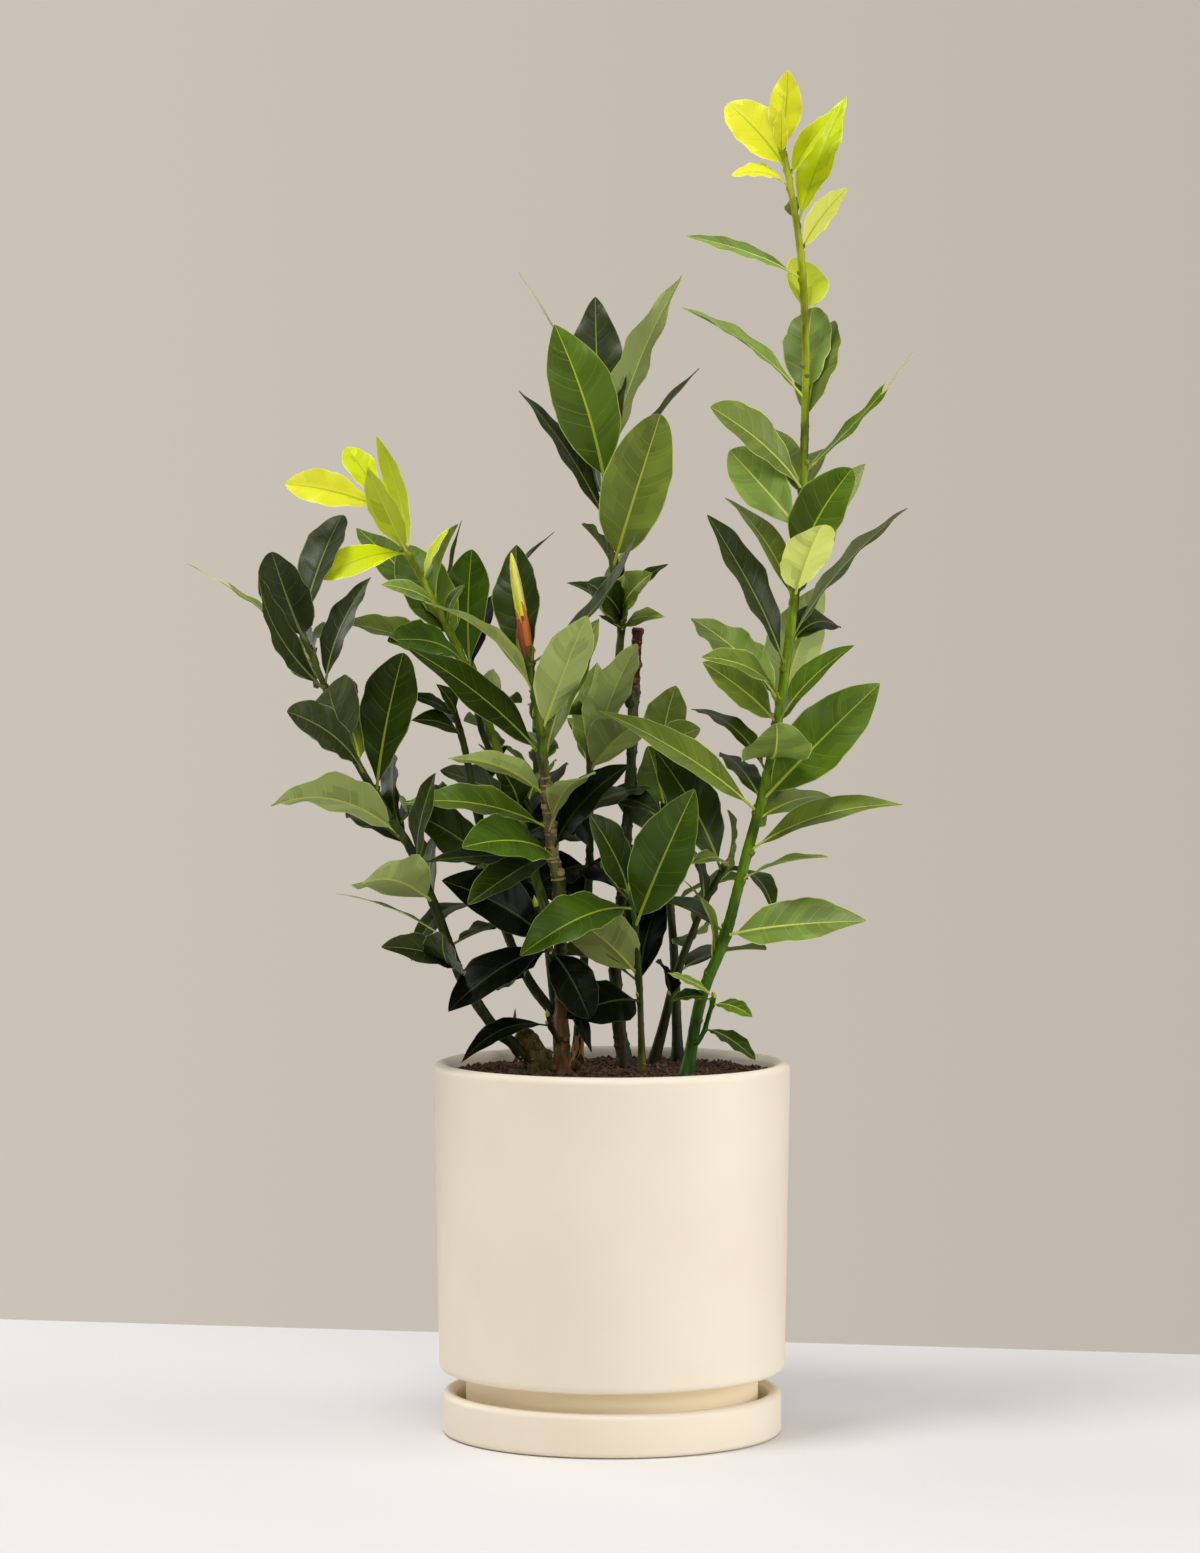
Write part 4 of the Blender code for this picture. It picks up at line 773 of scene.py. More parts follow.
def srgb(red, green, blue):
    """A colour as a screen shows it, 0 to 255, in the linear values that Blender takes."""
    shares = np.array([red, green, blue]) / 255.0
    linear = np.where(shares <= 0.04045, shares / 12.92, ((shares + 0.055) / 1.055) ** 2.4)
    return (*(float(value) for value in linear), 1.0)


def new_material(name, colour, roughness, specular=0.5):
    """A Principled material with a plain colour, its shader and its node tree."""
    material = bpy.data.materials.new(name)
    material.use_nodes = True
    tree = material.node_tree
    shader = tree.nodes["Principled BSDF"]
    shader.inputs["Base Color"].default_value = srgb(*colour)
    shader.inputs["Roughness"].default_value = roughness
    shader.inputs["Specular IOR Level"].default_value = specular
    material.diffuse_color = srgb(*colour)
    return material, shader, tree


def add_node(tree, kind, **inputs):
    """A node whose inputs, with _ for the spaces in their names, are set to values or linked to
    outputs."""
    node = tree.nodes.new("ShaderNode" + kind)
    for name, value in inputs.items():
        socket = node.inputs[name.replace("_", " ")]
        if isinstance(value, bpy.types.NodeSocket):
            tree.links.new(value, socket)
        else:
            socket.default_value = value
    return node


def add_noise(tree, scale, detail=3.0, stretch=(1.0, 1.0, 1.0)):
    """A noise texture in object coordinates, scaled per metre. Returns its value output."""
    place = add_node(tree, "TexCoord").outputs["Object"]
    stretched = add_node(tree, "Mapping", Vector=place, Scale=stretch).outputs["Vector"]
    return add_node(tree, "TexNoise", Vector=stretched, Scale=scale, Detail=detail).outputs["Fac"]


def add_bump(tree, shader, height, distance, strength):
    bump = add_node(tree, "Bump", Height=height, Distance=distance, Strength=strength)
    tree.links.new(bump.outputs["Normal"], shader.inputs["Normal"])


def add_ramp(tree, factor, stops):
    """A colour ramp over a value. stops are (place, colour)."""
    ramp = add_node(tree, "ValToRGB", Fac=factor)
    elements = ramp.color_ramp.elements
    elements[0].position, elements[0].color = stops[0]
    elements[1].position, elements[1].color = stops[-1]
    for place, colour in stops[1:-1]:
        elements.new(place).color = colour
    return ramp.outputs["Color"]


def grained(name, colour, roughness, scale, depth, strength, detail=3.0, stretch=(1.0, 1.0, 1.0),
            specular=0.5):
    """A material of one colour with a fine relief: so many grains a metre, and depth in metres."""
    material, shader, tree = new_material(name, colour, roughness, specular)
    add_bump(tree, shader, add_noise(tree, scale, detail, stretch), depth, strength)
    return material


def leaf_materials():
    """The materials of leaves by tone and part, and for the sides of the blades by shade."""
    found = {"dry": grained("leaf_dry", DRY_COLOUR, 0.8, 500.0, 0.0003, 0.6)}
    for tone, colours in LEAF_COLOURS.items():
        specular = LEAF_SPECULAR.get(tone, OTHER_SPECULAR)
        for part, colour, roughness in zip(LEAF_PARTS, colours, LEAF_ROUGHNESS):
            shaded = part in SHADED_PARTS
            for number, shade in enumerate(SHADES if shaded else (1.0,)):
                lit = tuple(min(255.0, value * shade) for value in colour)
                key = f"{tone}_{part}_{number}" if shaded else f"{tone}_{part}"
                found[key] = grained(
                    f"leaf_{tone}_{part}_{number}", lit, roughness, 900.0, 0.00012, 0.5, specular=specular)
    return found


def bark_material(name, wander, roughness, grain_scale, stops):
    """Bark whose colour changes with height. Noise makes the edges between the colours ragged, and a
    fine grain runs along the stem."""
    material, shader, tree = new_material(name, stops[0][1], roughness, STEM_SPECULAR)
    split = add_node(tree, "SeparateXYZ", Vector=add_node(tree, "TexCoord").outputs["Object"])
    shift = add_node(tree, "Math")
    shift.operation = "MULTIPLY_ADD"
    shift.inputs[1].default_value = 2.0 * wander
    tree.links.new(add_noise(tree, EDGE_NOISE), shift.inputs[0])
    tree.links.new(split.outputs["Z"], shift.inputs[2])
    tone = add_ramp(tree, shift.outputs["Value"],
                    [(height + wander, srgb(*colour)) for height, colour in stops])
    grain = add_noise(tree, grain_scale, 4.0, (1.0, 1.0, 0.3))
    shade = add_ramp(tree, grain, GRAIN_SHADES)
    mix = add_node(tree, "Mix")
    mix.data_type = "RGBA"
    mix.blend_type = "MULTIPLY"
    mix.inputs["Factor"].default_value = 1.0
    tree.links.new(tone, mix.inputs["A"])
    tree.links.new(shade, mix.inputs["B"])
    tree.links.new(mix.outputs["Result"], shader.inputs["Base Color"])
    add_bump(tree, shader, grain, 0.0004, 0.6)
    return material


def wood_materials():
    """The barks, and the materials of buds, scars and dry bits."""
    barks = {name: bark_material(name, *look) for name, look in BARK_LOOKS.items()}
    small = {name: grained(name, colour, roughness, 700.0, 0.0003, 0.5, stretch=(1.0, 1.0, 0.3))
             for name, (colour, roughness) in SMALL_LOOKS.items()}
    return {**barks, **small}


# ---------------------------------------------------------------- meshes

class Shells:
    """Points and faces of closed shells that become one mesh."""

    def __init__(self):
        self.points = []
        self.faces = []
        self.slots = []
        self.count = 0

    def add(self, points, faces, slots):
        """faces is a list of index arrays, one row a face, and slots the material names of each."""
        for block, names in zip(faces, slots):
            self.faces.append(np.asarray(block) + self.count)
            self.slots.append(np.broadcast_to(np.asarray(names, dtype=object), (len(block),)))
        self.points.append(points)
        self.count += len(points)

    def to_piece(self, name, materials, slot, *nodes):
        """One smooth object in metres on the plant's body, in place of the nodes. slot is not used."""
        points = np.vstack(self.points) * MM
        sizes = np.concatenate([np.full(len(block), block.shape[1]) for block in self.faces])
        used, indices = np.unique(np.concatenate(self.slots).astype(str), return_inverse=True)
        mesh = bpy.data.meshes.new(name)
        mesh.vertices.add(len(points))
        mesh.vertices.foreach_set("co", points.ravel())
        mesh.loops.add(int(sizes.sum()))
        mesh.loops.foreach_set("vertex_index", np.concatenate([block.ravel() for block in self.faces]))
        mesh.polygons.add(len(sizes))
        mesh.polygons.foreach_set("loop_start", np.concatenate([[0], np.cumsum(sizes)[:-1]]))
        mesh.polygons.foreach_set("material_index", indices.ravel())
        mesh.polygons.foreach_set("use_smooth", np.ones(len(sizes), dtype=bool))
        mesh.update(calc_edges=True)
        mesh.set_sharp_from_angle(angle=math.radians(SHARP_ANGLE))
        for key in used:
            mesh.materials.append(materials[key])
        piece = bpy.data.objects.new(name, mesh)
        bpy.context.scene.collection.objects.link(piece)
        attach(piece, "root")
        if nodes:
            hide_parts(*nodes)


def tube_faces(rings, sides):
    """Faces of a closed tube whose points are rings of sides, then the two ends."""
    first = np.arange(rings - 1)[:, None] * sides
    along = np.arange(sides)[None, :]
    across = (along + 1) % sides
    quads = np.stack([first + along, first + across, first + sides + across, first + sides + along], axis=-1)
    bottom = np.arange(sides)[None, ::-1]
    top = (rings - 1) * sides + np.arange(sides)[None, :]
    return quads.reshape(-1, 4), bottom, top


def round_angles(sides):
    return np.linspace(0.0, 2.0 * math.pi, sides, endpoint=False)


def ring_frames(line):
    """Two unit vectors across the line at each point, turned as little as possible on the way."""
    steps = np.gradient(line, axis=0)
    steps /= np.linalg.norm(steps, axis=1)[:, None]
    across = np.cross(steps[0], (0.0, 1.0, 0.0) if abs(steps[0][1]) < 0.9 else (1.0, 0.0, 0.0))
    frames = []
    for step in steps:
        across = square_to(step, across)
        frames.append(across)
    first = np.array(frames)
    return first, np.cross(steps, first)


def add_tube(shells, line, radii, sides, slots, relief=0.0):
    """A closed tube along the line. relief is added to the radii. It and slots, the names of the
    materials, are one for all or an array by ring and side."""
    first, second = ring_frames(line)
    angles = round_angles(sides)[None, :, None]
    outward = first[:, None, :] * np.cos(angles) + second[:, None, :] * np.sin(angles)
    reach = radii[:, None] + relief
    points = line[:, None, :] + outward * reach[:, :, None]
    names = np.broadcast_to(np.asarray(slots, dtype=object), (len(line) - 1, sides))
    ends = names[0, 0], names[-1, 0]
    shells.add(points.reshape(-1, 3), tube_faces(len(line), sides), [names.ravel(), *ends])


# ---------------------------------------------------------------- leaves

def wave(turns):
    """A sine wave over a count of whole turns."""
    return np.sin(2.0 * math.pi * turns)


def hump(share):
    """0 at both ends and 1 in the middle."""
    return 4.0 * share * (1.0 - share)


def along_blade(share):
    """A share of the leaf's length as a share of the blade beyond the petiole."""
    return np.clip((share - PETIOLE_SHARE) / (1.0 - PETIOLE_SHARE), 0.0, 1.0)


def half_width(share, width, form):
    """Half the width of a blade at shares of its length, as in the solids; zero along the petiole."""
    return width / 2 * np.sin(math.pi * along_blade(share)**form.skew).clip(0.0) ** form.bluntness


def vein_rows(count, offset):
    """The rows of one side that start a side vein."""
    return np.arange(ROWS_PER_VEIN + offset, count - 2, ROWS_PER_VEIN)


def vein_mask(count, offset):
    """For each strip between rows of one side, whether it is a side vein."""
    return np.isin(np.arange(count), vein_rows(count, offset))


def row_places(count, half, vein_share):
    """Where the rows of one side lie along the blade, close together at each side vein."""
    knots = [(0, 0.0)]
    for row in vein_rows(count, half.offset):
        stray = VEIN_STRAY * math.sin(VEIN_STRAY_STEP * row + TURN * half.phase)
        middle = (row + 0.5 + stray) / count
        knots += [(row, middle - vein_share / 2), (row + 1, middle + vein_share / 2)]
    knots.append((count, 1.0))
    rows, places = zip(*knots)
    return np.interp(np.arange(count + 1), rows, places)


def leaf_form(blade, draw):
    """The free play of one leaf: its veins, bend, waves, twist, droop, outline, tints with a painted
    light and shade between its halves, and dry tip.
    """
    length = (blade.tip - blade.root).length
    fewest, most = VEIN_PAIRS
    return LeafForm(
        veins=max(fewest, min(most, round(length / VEIN_SPACING))),
        bend=draw.uniform(-BEND_PLAY, BEND_PLAY) * length,
        wave=draw.uniform(*WAVE_HEIGHT) * blade.width / USUAL_WIDTH, waves=draw.uniform(*WAVE_COUNT),
        phases=[draw.uniform(0.0, 1.0) for _ in range(6)],
        twist=math.radians(draw.uniform(-TWIST_PLAY, TWIST_PLAY)), droop=draw.uniform(*DROOP_PLAY),
        fold=FOLD * draw.uniform(*FOLD_PLAY), nibble=draw.uniform(*NIBBLE),
        tint=[draw.uniform(-play, play) for play in TINT_AND_SIDE_SHADE_PLAY],
        dry_from=TAIL_DRY_FROM if blade.form == TAIL else 1.0)


def column_rows(form, half, step, vein_share):
    """Where the rows of one column lie along the leaf, as shares of its length, petiole first."""
    count = form.veins * ROWS_PER_VEIN
    if step == 0:
        places = np.arange(count + 1) / count
    else:
        places = row_places(count, half, vein_share * (1.0 - VEIN_TAPER * step / STRIPS))
    along = 1.0 - (1.0 - places[:count]) ** TIP_CROWDING
    return np.concatenate([PETIOLE_ROWS, PETIOLE_SHARE + (1.0 - PETIOLE_SHARE) * along])


def column_part(step, rib, edge):
    """How far out a column lies, from 0 on the ridge of the midrib to 1 on the margin."""
    rib_part = np.minimum(rib / edge, RIB_MOST)
    if step < len(RIB_STEPS):
        return RIB_STEPS[step] * rib_part
    if step == STRIPS:
        return np.ones(len(rib))
    if step == STRIPS - 1:
        return rib_part + (1.0 - rib_part) * (1.0 - np.minimum(MARGIN_WIDTH / edge, MARGIN_MOST))
    return rib_part + (1.0 - rib_part) * BLADE_STEPS[step - len(RIB_STEPS)]


def leaf_column(blade, form, half, step):
    """One column of a blade's grid: how far along, aside, and above and below the chord it runs."""
    length = (blade.tip - blade.root).length
    share = column_rows(form, half, step, VEIN_WIDTH / length)
    rib = RIB_RADIUS * (blade.width / USUAL_WIDTH) ** 0.5 * (RIB_END - share) ** RIB_TAPER
    part = column_part(step, rib, np.maximum(half_width(share, blade.width, blade.form), rib + RIB_EDGE))
    # Sweep the row forward, as the side veins run, and take the width where it ends up
    sweep = min(SWEEP_MOST, SWEEP * blade.width / 2 / length)
    swept = share + (1.0 - PETIOLE_SHARE) * sweep * hump(along_blade(share)) * part**SWEEP_CURVE
    reach = along_blade(swept)
    fade = np.sin(math.pi * reach) ** 0.5
    first, second = RAGGED_WAVES
    ragged = wave(first * swept + half.bite) * wave(second * swept + half.phase)
    outline = half_width(swept, blade.width, blade.form) * (1.0 - form.nibble * fade * (0.5 + 0.5 * ragged))
    across = part * np.maximum(outline, rib + RIB_EDGE)

    turn = form.twist * (swept - TWIST_START)
    aside = half.sign * across * np.cos(turn) + form.bend * hump(swept)
    stand = (blade.arch - form.droop * swept) * hump(swept) + half.sign * across * np.sin(turn)
    stand = stand + form.fold * across * np.minimum(1.0, swept / FOLD_START)
    stand = stand + form.wave * part**2 * fade * wave(form.waves * reach + half.phase)
    if step == STRIPS:
        return swept * length, aside, stand, stand
    start, growth = BLADE_START
    grown = np.clip((swept - start) / growth, 0.0, 1.0)
    ridge = np.sqrt(np.clip(1.0 - (across / np.maximum(rib, 1e-6)) ** 2, 0.0, 1.0)) * rib
    thin = BLADE_HALF_THICKNESS * (1.0 - part**2) * grown
    strips = vein_mask(form.veins * ROWS_PER_VEIN, half.offset)
    at_vein = np.concatenate([np.zeros(len(PETIOLE_ROWS), dtype=bool), strips | np.roll(strips, 1)])
    on_blade = np.arange(len(share)) >= len(PETIOLE_ROWS)
    quilt = QUILT * np.sin(math.pi * part) * fade * min(1.0, blade.width / QUILT_WIDTH)
    quilt = np.where(on_blade & ~at_vein, quilt, 0.0)
    under_vein = np.where(at_vein & (step >= len(RIB_STEPS)), UNDER_VEIN, 0.0) * (1.0 - part)
    above = stand + thin + ridge * (1.0 - RIB_SUNK_ABOVE * grown) + quilt
    below = stand - thin - ridge * (1.0 - RIB_SUNK_BELOW * grown) + quilt - under_vein
    return swept * length, aside, above, below


def add_leaf(shells, blade, form, tone):
    """One closed leaf: petiole, raised midrib, side veins, quilted blade and thin pale margin,
    partly a painted edge highlight.
    """
    chord = blade.tip - blade.root
    forward = np.array(chord / chord.length)
    normal = np.array(blade.normal)
    side = unit(np.cross(forward, normal))
    rows = len(PETIOLE_ROWS) + form.veins * ROWS_PER_VEIN
    top = np.zeros((rows, COLUMNS, 3))
    low = np.zeros((rows, COLUMNS, 3))
    for half in (LeafSide(-1, 0, form.phases[0], form.phases[2]),
                 LeafSide(1, ROWS_PER_VEIN // 2, form.phases[1], form.phases[3])):
        for step in range(STRIPS + 1):
            ahead, aside, above, below = leaf_column(blade, form, half, step)
            column = STRIPS + half.sign * step
            base = np.array(blade.root) + forward * ahead[:, None] + side * aside[:, None]
            top[:, column] = base + normal * above[:, None]
            low[:, column] = base + normal * below[:, None]
    points = np.vstack([top.reshape(-1, 3), low[:, 1:-1].reshape(-1, 3), np.array(blade.tip)[None]])
    points = np.clip(points, *(np.array(corner) / MM for corner in CAD_BOX))
    quads, tips, foot, parts = leaf_faces(form.veins)
    shells.add(points, [quads, tips, foot], [*leaf_slots(rows, form, tone, parts), f"{tone}_midrib"])


def shade_numbers(rows, form, calm):
    """The shade of each cell of a blade: one tint for the leaf, changing from vein to vein, and a
    painted light and shade that makes one half lighter than the other. calm scales the change,
    which shows most on pale leaves."""
    row, column = (index.ravel() for index in np.indices((rows - 1, COLUMNS - 1)))
    across = (column + 0.5) / STRIPS - 1.0
    right = across > 0.0
    panel = np.round((row - len(PETIOLE_ROWS) - np.where(right, ROWS_PER_VEIN // 2, 0)) / ROWS_PER_VEIN)
    blotch = np.sin(panel * BLOTCH_STEP + TURN * np.where(right, form.phases[4], form.phases[5]))
    level, slope, lean = form.tint
    # lean makes one half lighter and the other darker: painted light and shade
    shade = level + slope * (row / rows - 0.5) + lean * np.sign(across)
    shade = shade + BLOTCH * blotch + EDGE_LIGHT * (np.abs(across) - 0.5)
    return np.clip(np.round(calm * shade + (len(SHADES) - 1) / 2), 0, len(SHADES) - 1).astype(int)


def leaf_slots(rows, form, tone, parts):
    """The material names of the faces of a leaf's grid, and of the faces at its tip."""
    shades = np.tile(shade_numbers(rows, form, CALM.get(tone, 1.0)), 2).astype(str)
    plain = np.char.add(f"{tone}_", parts)
    names = np.where(np.isin(parts, SHADED_PARTS), np.char.add(np.char.add(plain, "_"), shades), plain)
    along = np.tile(np.repeat(np.arange(rows - 1), COLUMNS - 1) / rows, 2)
    names = np.where(along >= form.dry_from, "dry", names)
    if form.dry_from < 1.0:
        return names, "dry"
    edge = np.tile(np.isin(np.arange(COLUMNS - 1), (0, COLUMNS - 2)), 2)
    return names, np.where(edge, f"{tone}_margin", f"{tone}_upper_{len(SHADES) // 2}")


@functools.lru_cache(maxsize=None)
def leaf_faces(veins):
    """Faces of the grid of a leaf with so many pairs of side veins: the sides, the tip and the foot,
    and the part of the leaf that each face of the sides belongs to."""
    count = veins * ROWS_PER_VEIN
    rows = len(PETIOLE_ROWS) + count

    def upper(row, column):
        return row * COLUMNS + column

    def lower(row, column):
        edge = (column == 0) | (column == COLUMNS - 1)
        inner = rows * COLUMNS + row * (COLUMNS - 2) + column - 1
        return np.where(edge, upper(row, column), inner)

    row, column = (index.ravel() for index in np.indices((rows - 1, COLUMNS - 1)))
    tops = np.stack([upper(row, column), upper(row, column + 1), upper(row + 1, column + 1),
                     upper(row + 1, column)], axis=-1)
    lows = np.stack([lower(row, column), lower(row + 1, column), lower(row + 1, column + 1),
                     lower(row, column + 1)], axis=-1)
    right = column >= STRIPS
    from_rib = np.where(right, column - STRIPS, STRIPS - 1 - column)
    blade_row = (row - len(PETIOLE_ROWS)).clip(0)
    left_veins, right_veins = vein_mask(count, 0), vein_mask(count, ROWS_PER_VEIN // 2)
    rib = (from_rib < len(RIB_STEPS) - 1) | (row < len(PETIOLE_ROWS))
    vein = np.where(right, right_veins[blade_row], left_veins[blade_row]) & (from_rib < STRIPS - 2) & ~rib
    margin = (from_rib == STRIPS - 1) & ~rib
    top_parts = np.select([rib, margin, vein], ["midrib", "margin", "vein"], "upper")
    low_parts = np.select([rib, margin, vein], ["midrib", "margin", "low_vein"], "under")

    across = np.arange(COLUMNS - 1)
    tip = np.full(len(across), rows * COLUMNS + rows * (COLUMNS - 2))
    top_tips = np.stack([upper(rows - 1, across), upper(rows - 1, across + 1), tip], axis=-1)
    low_tips = np.stack([lower(rows - 1, across + 1), lower(rows - 1, across), tip], axis=-1)
    foot = np.concatenate([upper(0, np.arange(COLUMNS - 1, -1, -1)), lower(0, np.arange(1, COLUMNS - 1))])
    return (np.vstack([tops, lows]), np.vstack([top_tips, low_tips]), foot[None],
            np.concatenate([top_parts, low_parts]).astype(str))


# ---------------------------------------------------------------- stems and buds

def bell(distance):
    return np.exp(-(distance**2))


def bark_relief(line, radii, sides, name, marks, seed):
    """Heights of the bark over each ring and side: lumps, fissures, ring scars and leaf cushions.
    Returns them, and where the close-set ring scars of the stem lie."""
    bark = BARKS.get(name, SMOOTH)
    lengths = lengths_along(line)[:, None]
    angles = round_angles(sides)[None, :]
    draw = random.Random(seed)
    relief = np.zeros((len(line), sides))
    for ring, (centre, radius) in enumerate(zip(line, radii)):
        for number, angle in enumerate(angles[0]):
            x, y = centre[0] + radius * math.cos(angle), centre[1] + radius * math.sin(angle)
            spot = Vector((x, y, centre[2] * bark.stretch)) * bark.grain
            relief[ring, number] = noise.noise(spot) * bark.lumps
    wander = 1.6 * np.sin(lengths / 7.0 + seed) + 0.8 * np.sin(lengths / 3.1)
    depth = 0.6 + 0.4 * np.sin(lengths / 2.3 + angles)
    relief += bark.fissures * np.sin(FISSURES * angles + wander) * depth
    place = draw.uniform(*SCAR_START)
    while place < lengths[-1, 0]:
        lean = draw.uniform(-SCAR_LEAN, SCAR_LEAN)
        offset = lengths - place - lean * np.cos(angles + draw.uniform(0.0, 6.0))
        relief += bark.scars * draw.uniform(*SCAR_SWELL) * bell(offset / SCAR_HALF)
        place += draw.uniform(*SCAR_SPACING)
    scarred = np.zeros((len(line), sides), dtype=bool)
    height, end = RING_ZONES.get(name, (0.0, 0.0))
    while height < end:
        tilt = draw.uniform(-RING_LEAN, RING_LEAN) * np.cos(angles + draw.uniform(0.0, 6.0))
        rise = bell((line[:, 2:] - height - tilt) / RING_HALF)
        relief += RING_SWELL * draw.uniform(*RING_PLAY) * rise
        scarred |= rise > RING_COLOURED
        height += draw.uniform(*RING_SPACING)
    for length, heading in marks:
        turn = np.angle(np.exp(1j * (angles - heading)))
        relief += CUSHION * bell((lengths - length) / CUSHION_LENGTH) * bell(turn / CUSHION_ANGLE)
    return relief, scarred


def add_bark(shells, name, line, radii, marks, seed):
    """A stem's bark over its whole length, with the colour of its ring scars, and its knobs."""
    sides = STEM_SIDES[0] if radii.max() > THICK_STEM else STEM_SIDES[1]
    relief, scarred = bark_relief(line, radii, sides, name, marks, seed)
    relief[0] = relief[-1] = 0.0
    slot = BARK_SLOTS.get(name, "dark_bark")
    add_tube(shells, line, radii, sides, np.where(scarred[:-1], RING_SLOTS.get(name, slot), slot), relief)
    for number, (owner, height, facing, size, colour) in enumerate(STUBS):
        if owner == name:
            point, _, index = point_at_height(line, height)
            outward = np.array([*facing, 0.0]) / math.hypot(*facing)
            add_lump(shells, point + outward * (radii[index] - STUB_SUNK * size), size, colour, number)


def add_lump(shells, centre, size, slot, seed, sides=12):
    """A knob of bark: a ball with a rough surface."""
    angles = np.linspace(math.pi - 0.15, 0.15, 9)
    line = np.array(centre) + UP * (size * np.cos(angles))[:, None]
    rough = np.array([[noise.noise(Vector((0.9 * ring, 0.8 * side, 3.7 * seed))) for side in range(sides)]
                      for ring in range(len(angles))])
    relief = 0.5 * size * rough * np.sin(angles)[:, None]
    add_tube(shells, line, size * np.sin(angles), sides, slot, relief)


def add_spindle(shells, foot, step, length, radius, slots, bend=(0.0, 0.0, 0.0), sides=10, rings=9,
                fullness=1.0):
    """A bud or other spindle from foot along step. slots names its materials from the foot up, and a
    low fullness makes both ends blunter."""
    shares = np.linspace(0.0, 1.0, rings)
    line = foot + step * (length * shares[:, None]) + np.array(bend) * (shares[:, None] ** 2)
    radii = radius * np.sin(math.pi * (0.12 + 0.86 * shares) ** 0.8) ** fullness
    chosen = np.array(slots, dtype=object)[(shares[:-1] * len(slots)).astype(int)]
    add_tube(shells, line, radii, sides, chosen[:, None])


def add_axil_bud(shells, line, radii, length, toward, draw):
    """A tiny bud in the angle between a petiole and the stem, on most leaves."""
    if draw.random() < AXIL_MISSING:
        return
    index = int(np.clip(np.searchsorted(lengths_along(line), length + 2.0), 1, len(line) - 1))
    step = unit(line[index] - line[index - 1])
    outward = square_to(step, toward)
    foot = line[index] + outward * (radii[index] - 0.4)
    size = draw.uniform(*AXIL_LENGTH)
    add_spindle(shells, foot, (step + AXIL_LEAN * outward) / 1.14, size, 0.3 * size,
                draw.choice(AXIL_BUDS), sides=7, rings=6)


def add_big_bud(shells, foot, tip):
    """The long bud on the trunk's tip: a rolled yellow core, with painted cream highlights along the
    crests of its rolls, that comes out of red-brown scales.
    """
    reach = tip - foot
    length = float(np.linalg.norm(reach))
    shares = np.linspace(0.0, 1.0, BUD_RINGS)[:, None]
    line = foot + reach * shares
    line[:, :1] += BUD_SWAY * np.sin(4.5 * shares) * (1.0 - shares)
    radii = np.interp(shares[:, 0], BUD_PLACES, BUD_RADII)
    turned = round_angles(BUD_SIDES)[None, :] + BUD_TWIST * shares
    rolled = np.sin(BUD_ROLLS * turned)
    relief = BUD_FURROW * rolled * np.sin(math.pi * shares)
    streak = rolled + 0.35 * np.sin(3.0 * BUD_ROLLS * turned + 8.0 * shares)
    red_below = BUD_RED + 0.08 * rolled + 0.03 * np.sin(8.0 * turned)
    # bud_cream on the crests of the rolls is a painted highlight
    colours = np.where(streak > 0.75, "bud_cream", np.where(streak < -0.9, "bud_lime", "bud_yellow"))
    colours = np.where(shares < red_below, np.where(streak > 0.2, "bud_orange", "bud_red"), colours)
    add_tube(shells, line, radii, BUD_SIDES, colours[:-1], relief)
    for right, away, up, share, radius, tilt, colours in BUD_SCALES:
        base = foot + np.array([right, away, up])
        toward = reach / length + np.array([tilt, 0.0, 0.0])
        bend = (SCALE_BEND * tilt, 0.0, 0.0)
        add_spindle(shells, base, toward, share * length, radius, colours, bend, 14, 14, 0.8)


def add_tip_bud(shells, shoot, line):
    """The bud on a shoot's tip."""
    length, radius = shoot.bud
    step = unit(line[-1] - line[-2])
    if shoot is TRUNK:
        foot = line[-1] - step * BUD_SUNK
        add_big_bud(shells, foot, foot + np.array(BUD_TIP))
    else:
        upturn = BUD_UPTURN * (UP - step) * length
        colours = TIP_BUDS.get(shoot.name, ("bud_green",))
        add_spindle(shells, line[-1] - step, step, length + 1.0, radius, colours, upturn)


def add_details(shells):
    """Knobs and lichen on the stump, dried fibres beside the trunk, and the other dry bits."""
    draw = random.Random(DETAIL_SEED)
    for number, (*middle, size) in enumerate(STUMP_KNOBS):
        add_lump(shells, middle, size, "stump_bark", number)
    for number in range(LICHEN_SPOTS):
        x, z, y = (draw.uniform(*span) for span in LICHEN_PLACE)
        add_lump(shells, (x, y, z), draw.uniform(*LICHEN_SIZE), "lichen", 20 + number)
    for _ in range(FIBRES):
        top = np.array([draw.uniform(*span) for span in FIBRE_TOP])
        fall = np.array([draw.uniform(*span) for span in FIBRE_FALL])
        bend = (draw.uniform(-FIBRE_BEND, FIBRE_BEND), 0.0, 0.0)
        size = float(np.linalg.norm(fall))
        add_spindle(shells, top, fall / size, size, draw.uniform(*FIBRE_RADIUS), ("fibre",), bend, 6, 8)
    for foot, step, *shape in DRY_BITS:
        add_spindle(shells, np.array(foot), np.array(step), *shape)


# ---------------------------------------------------------------- the plant

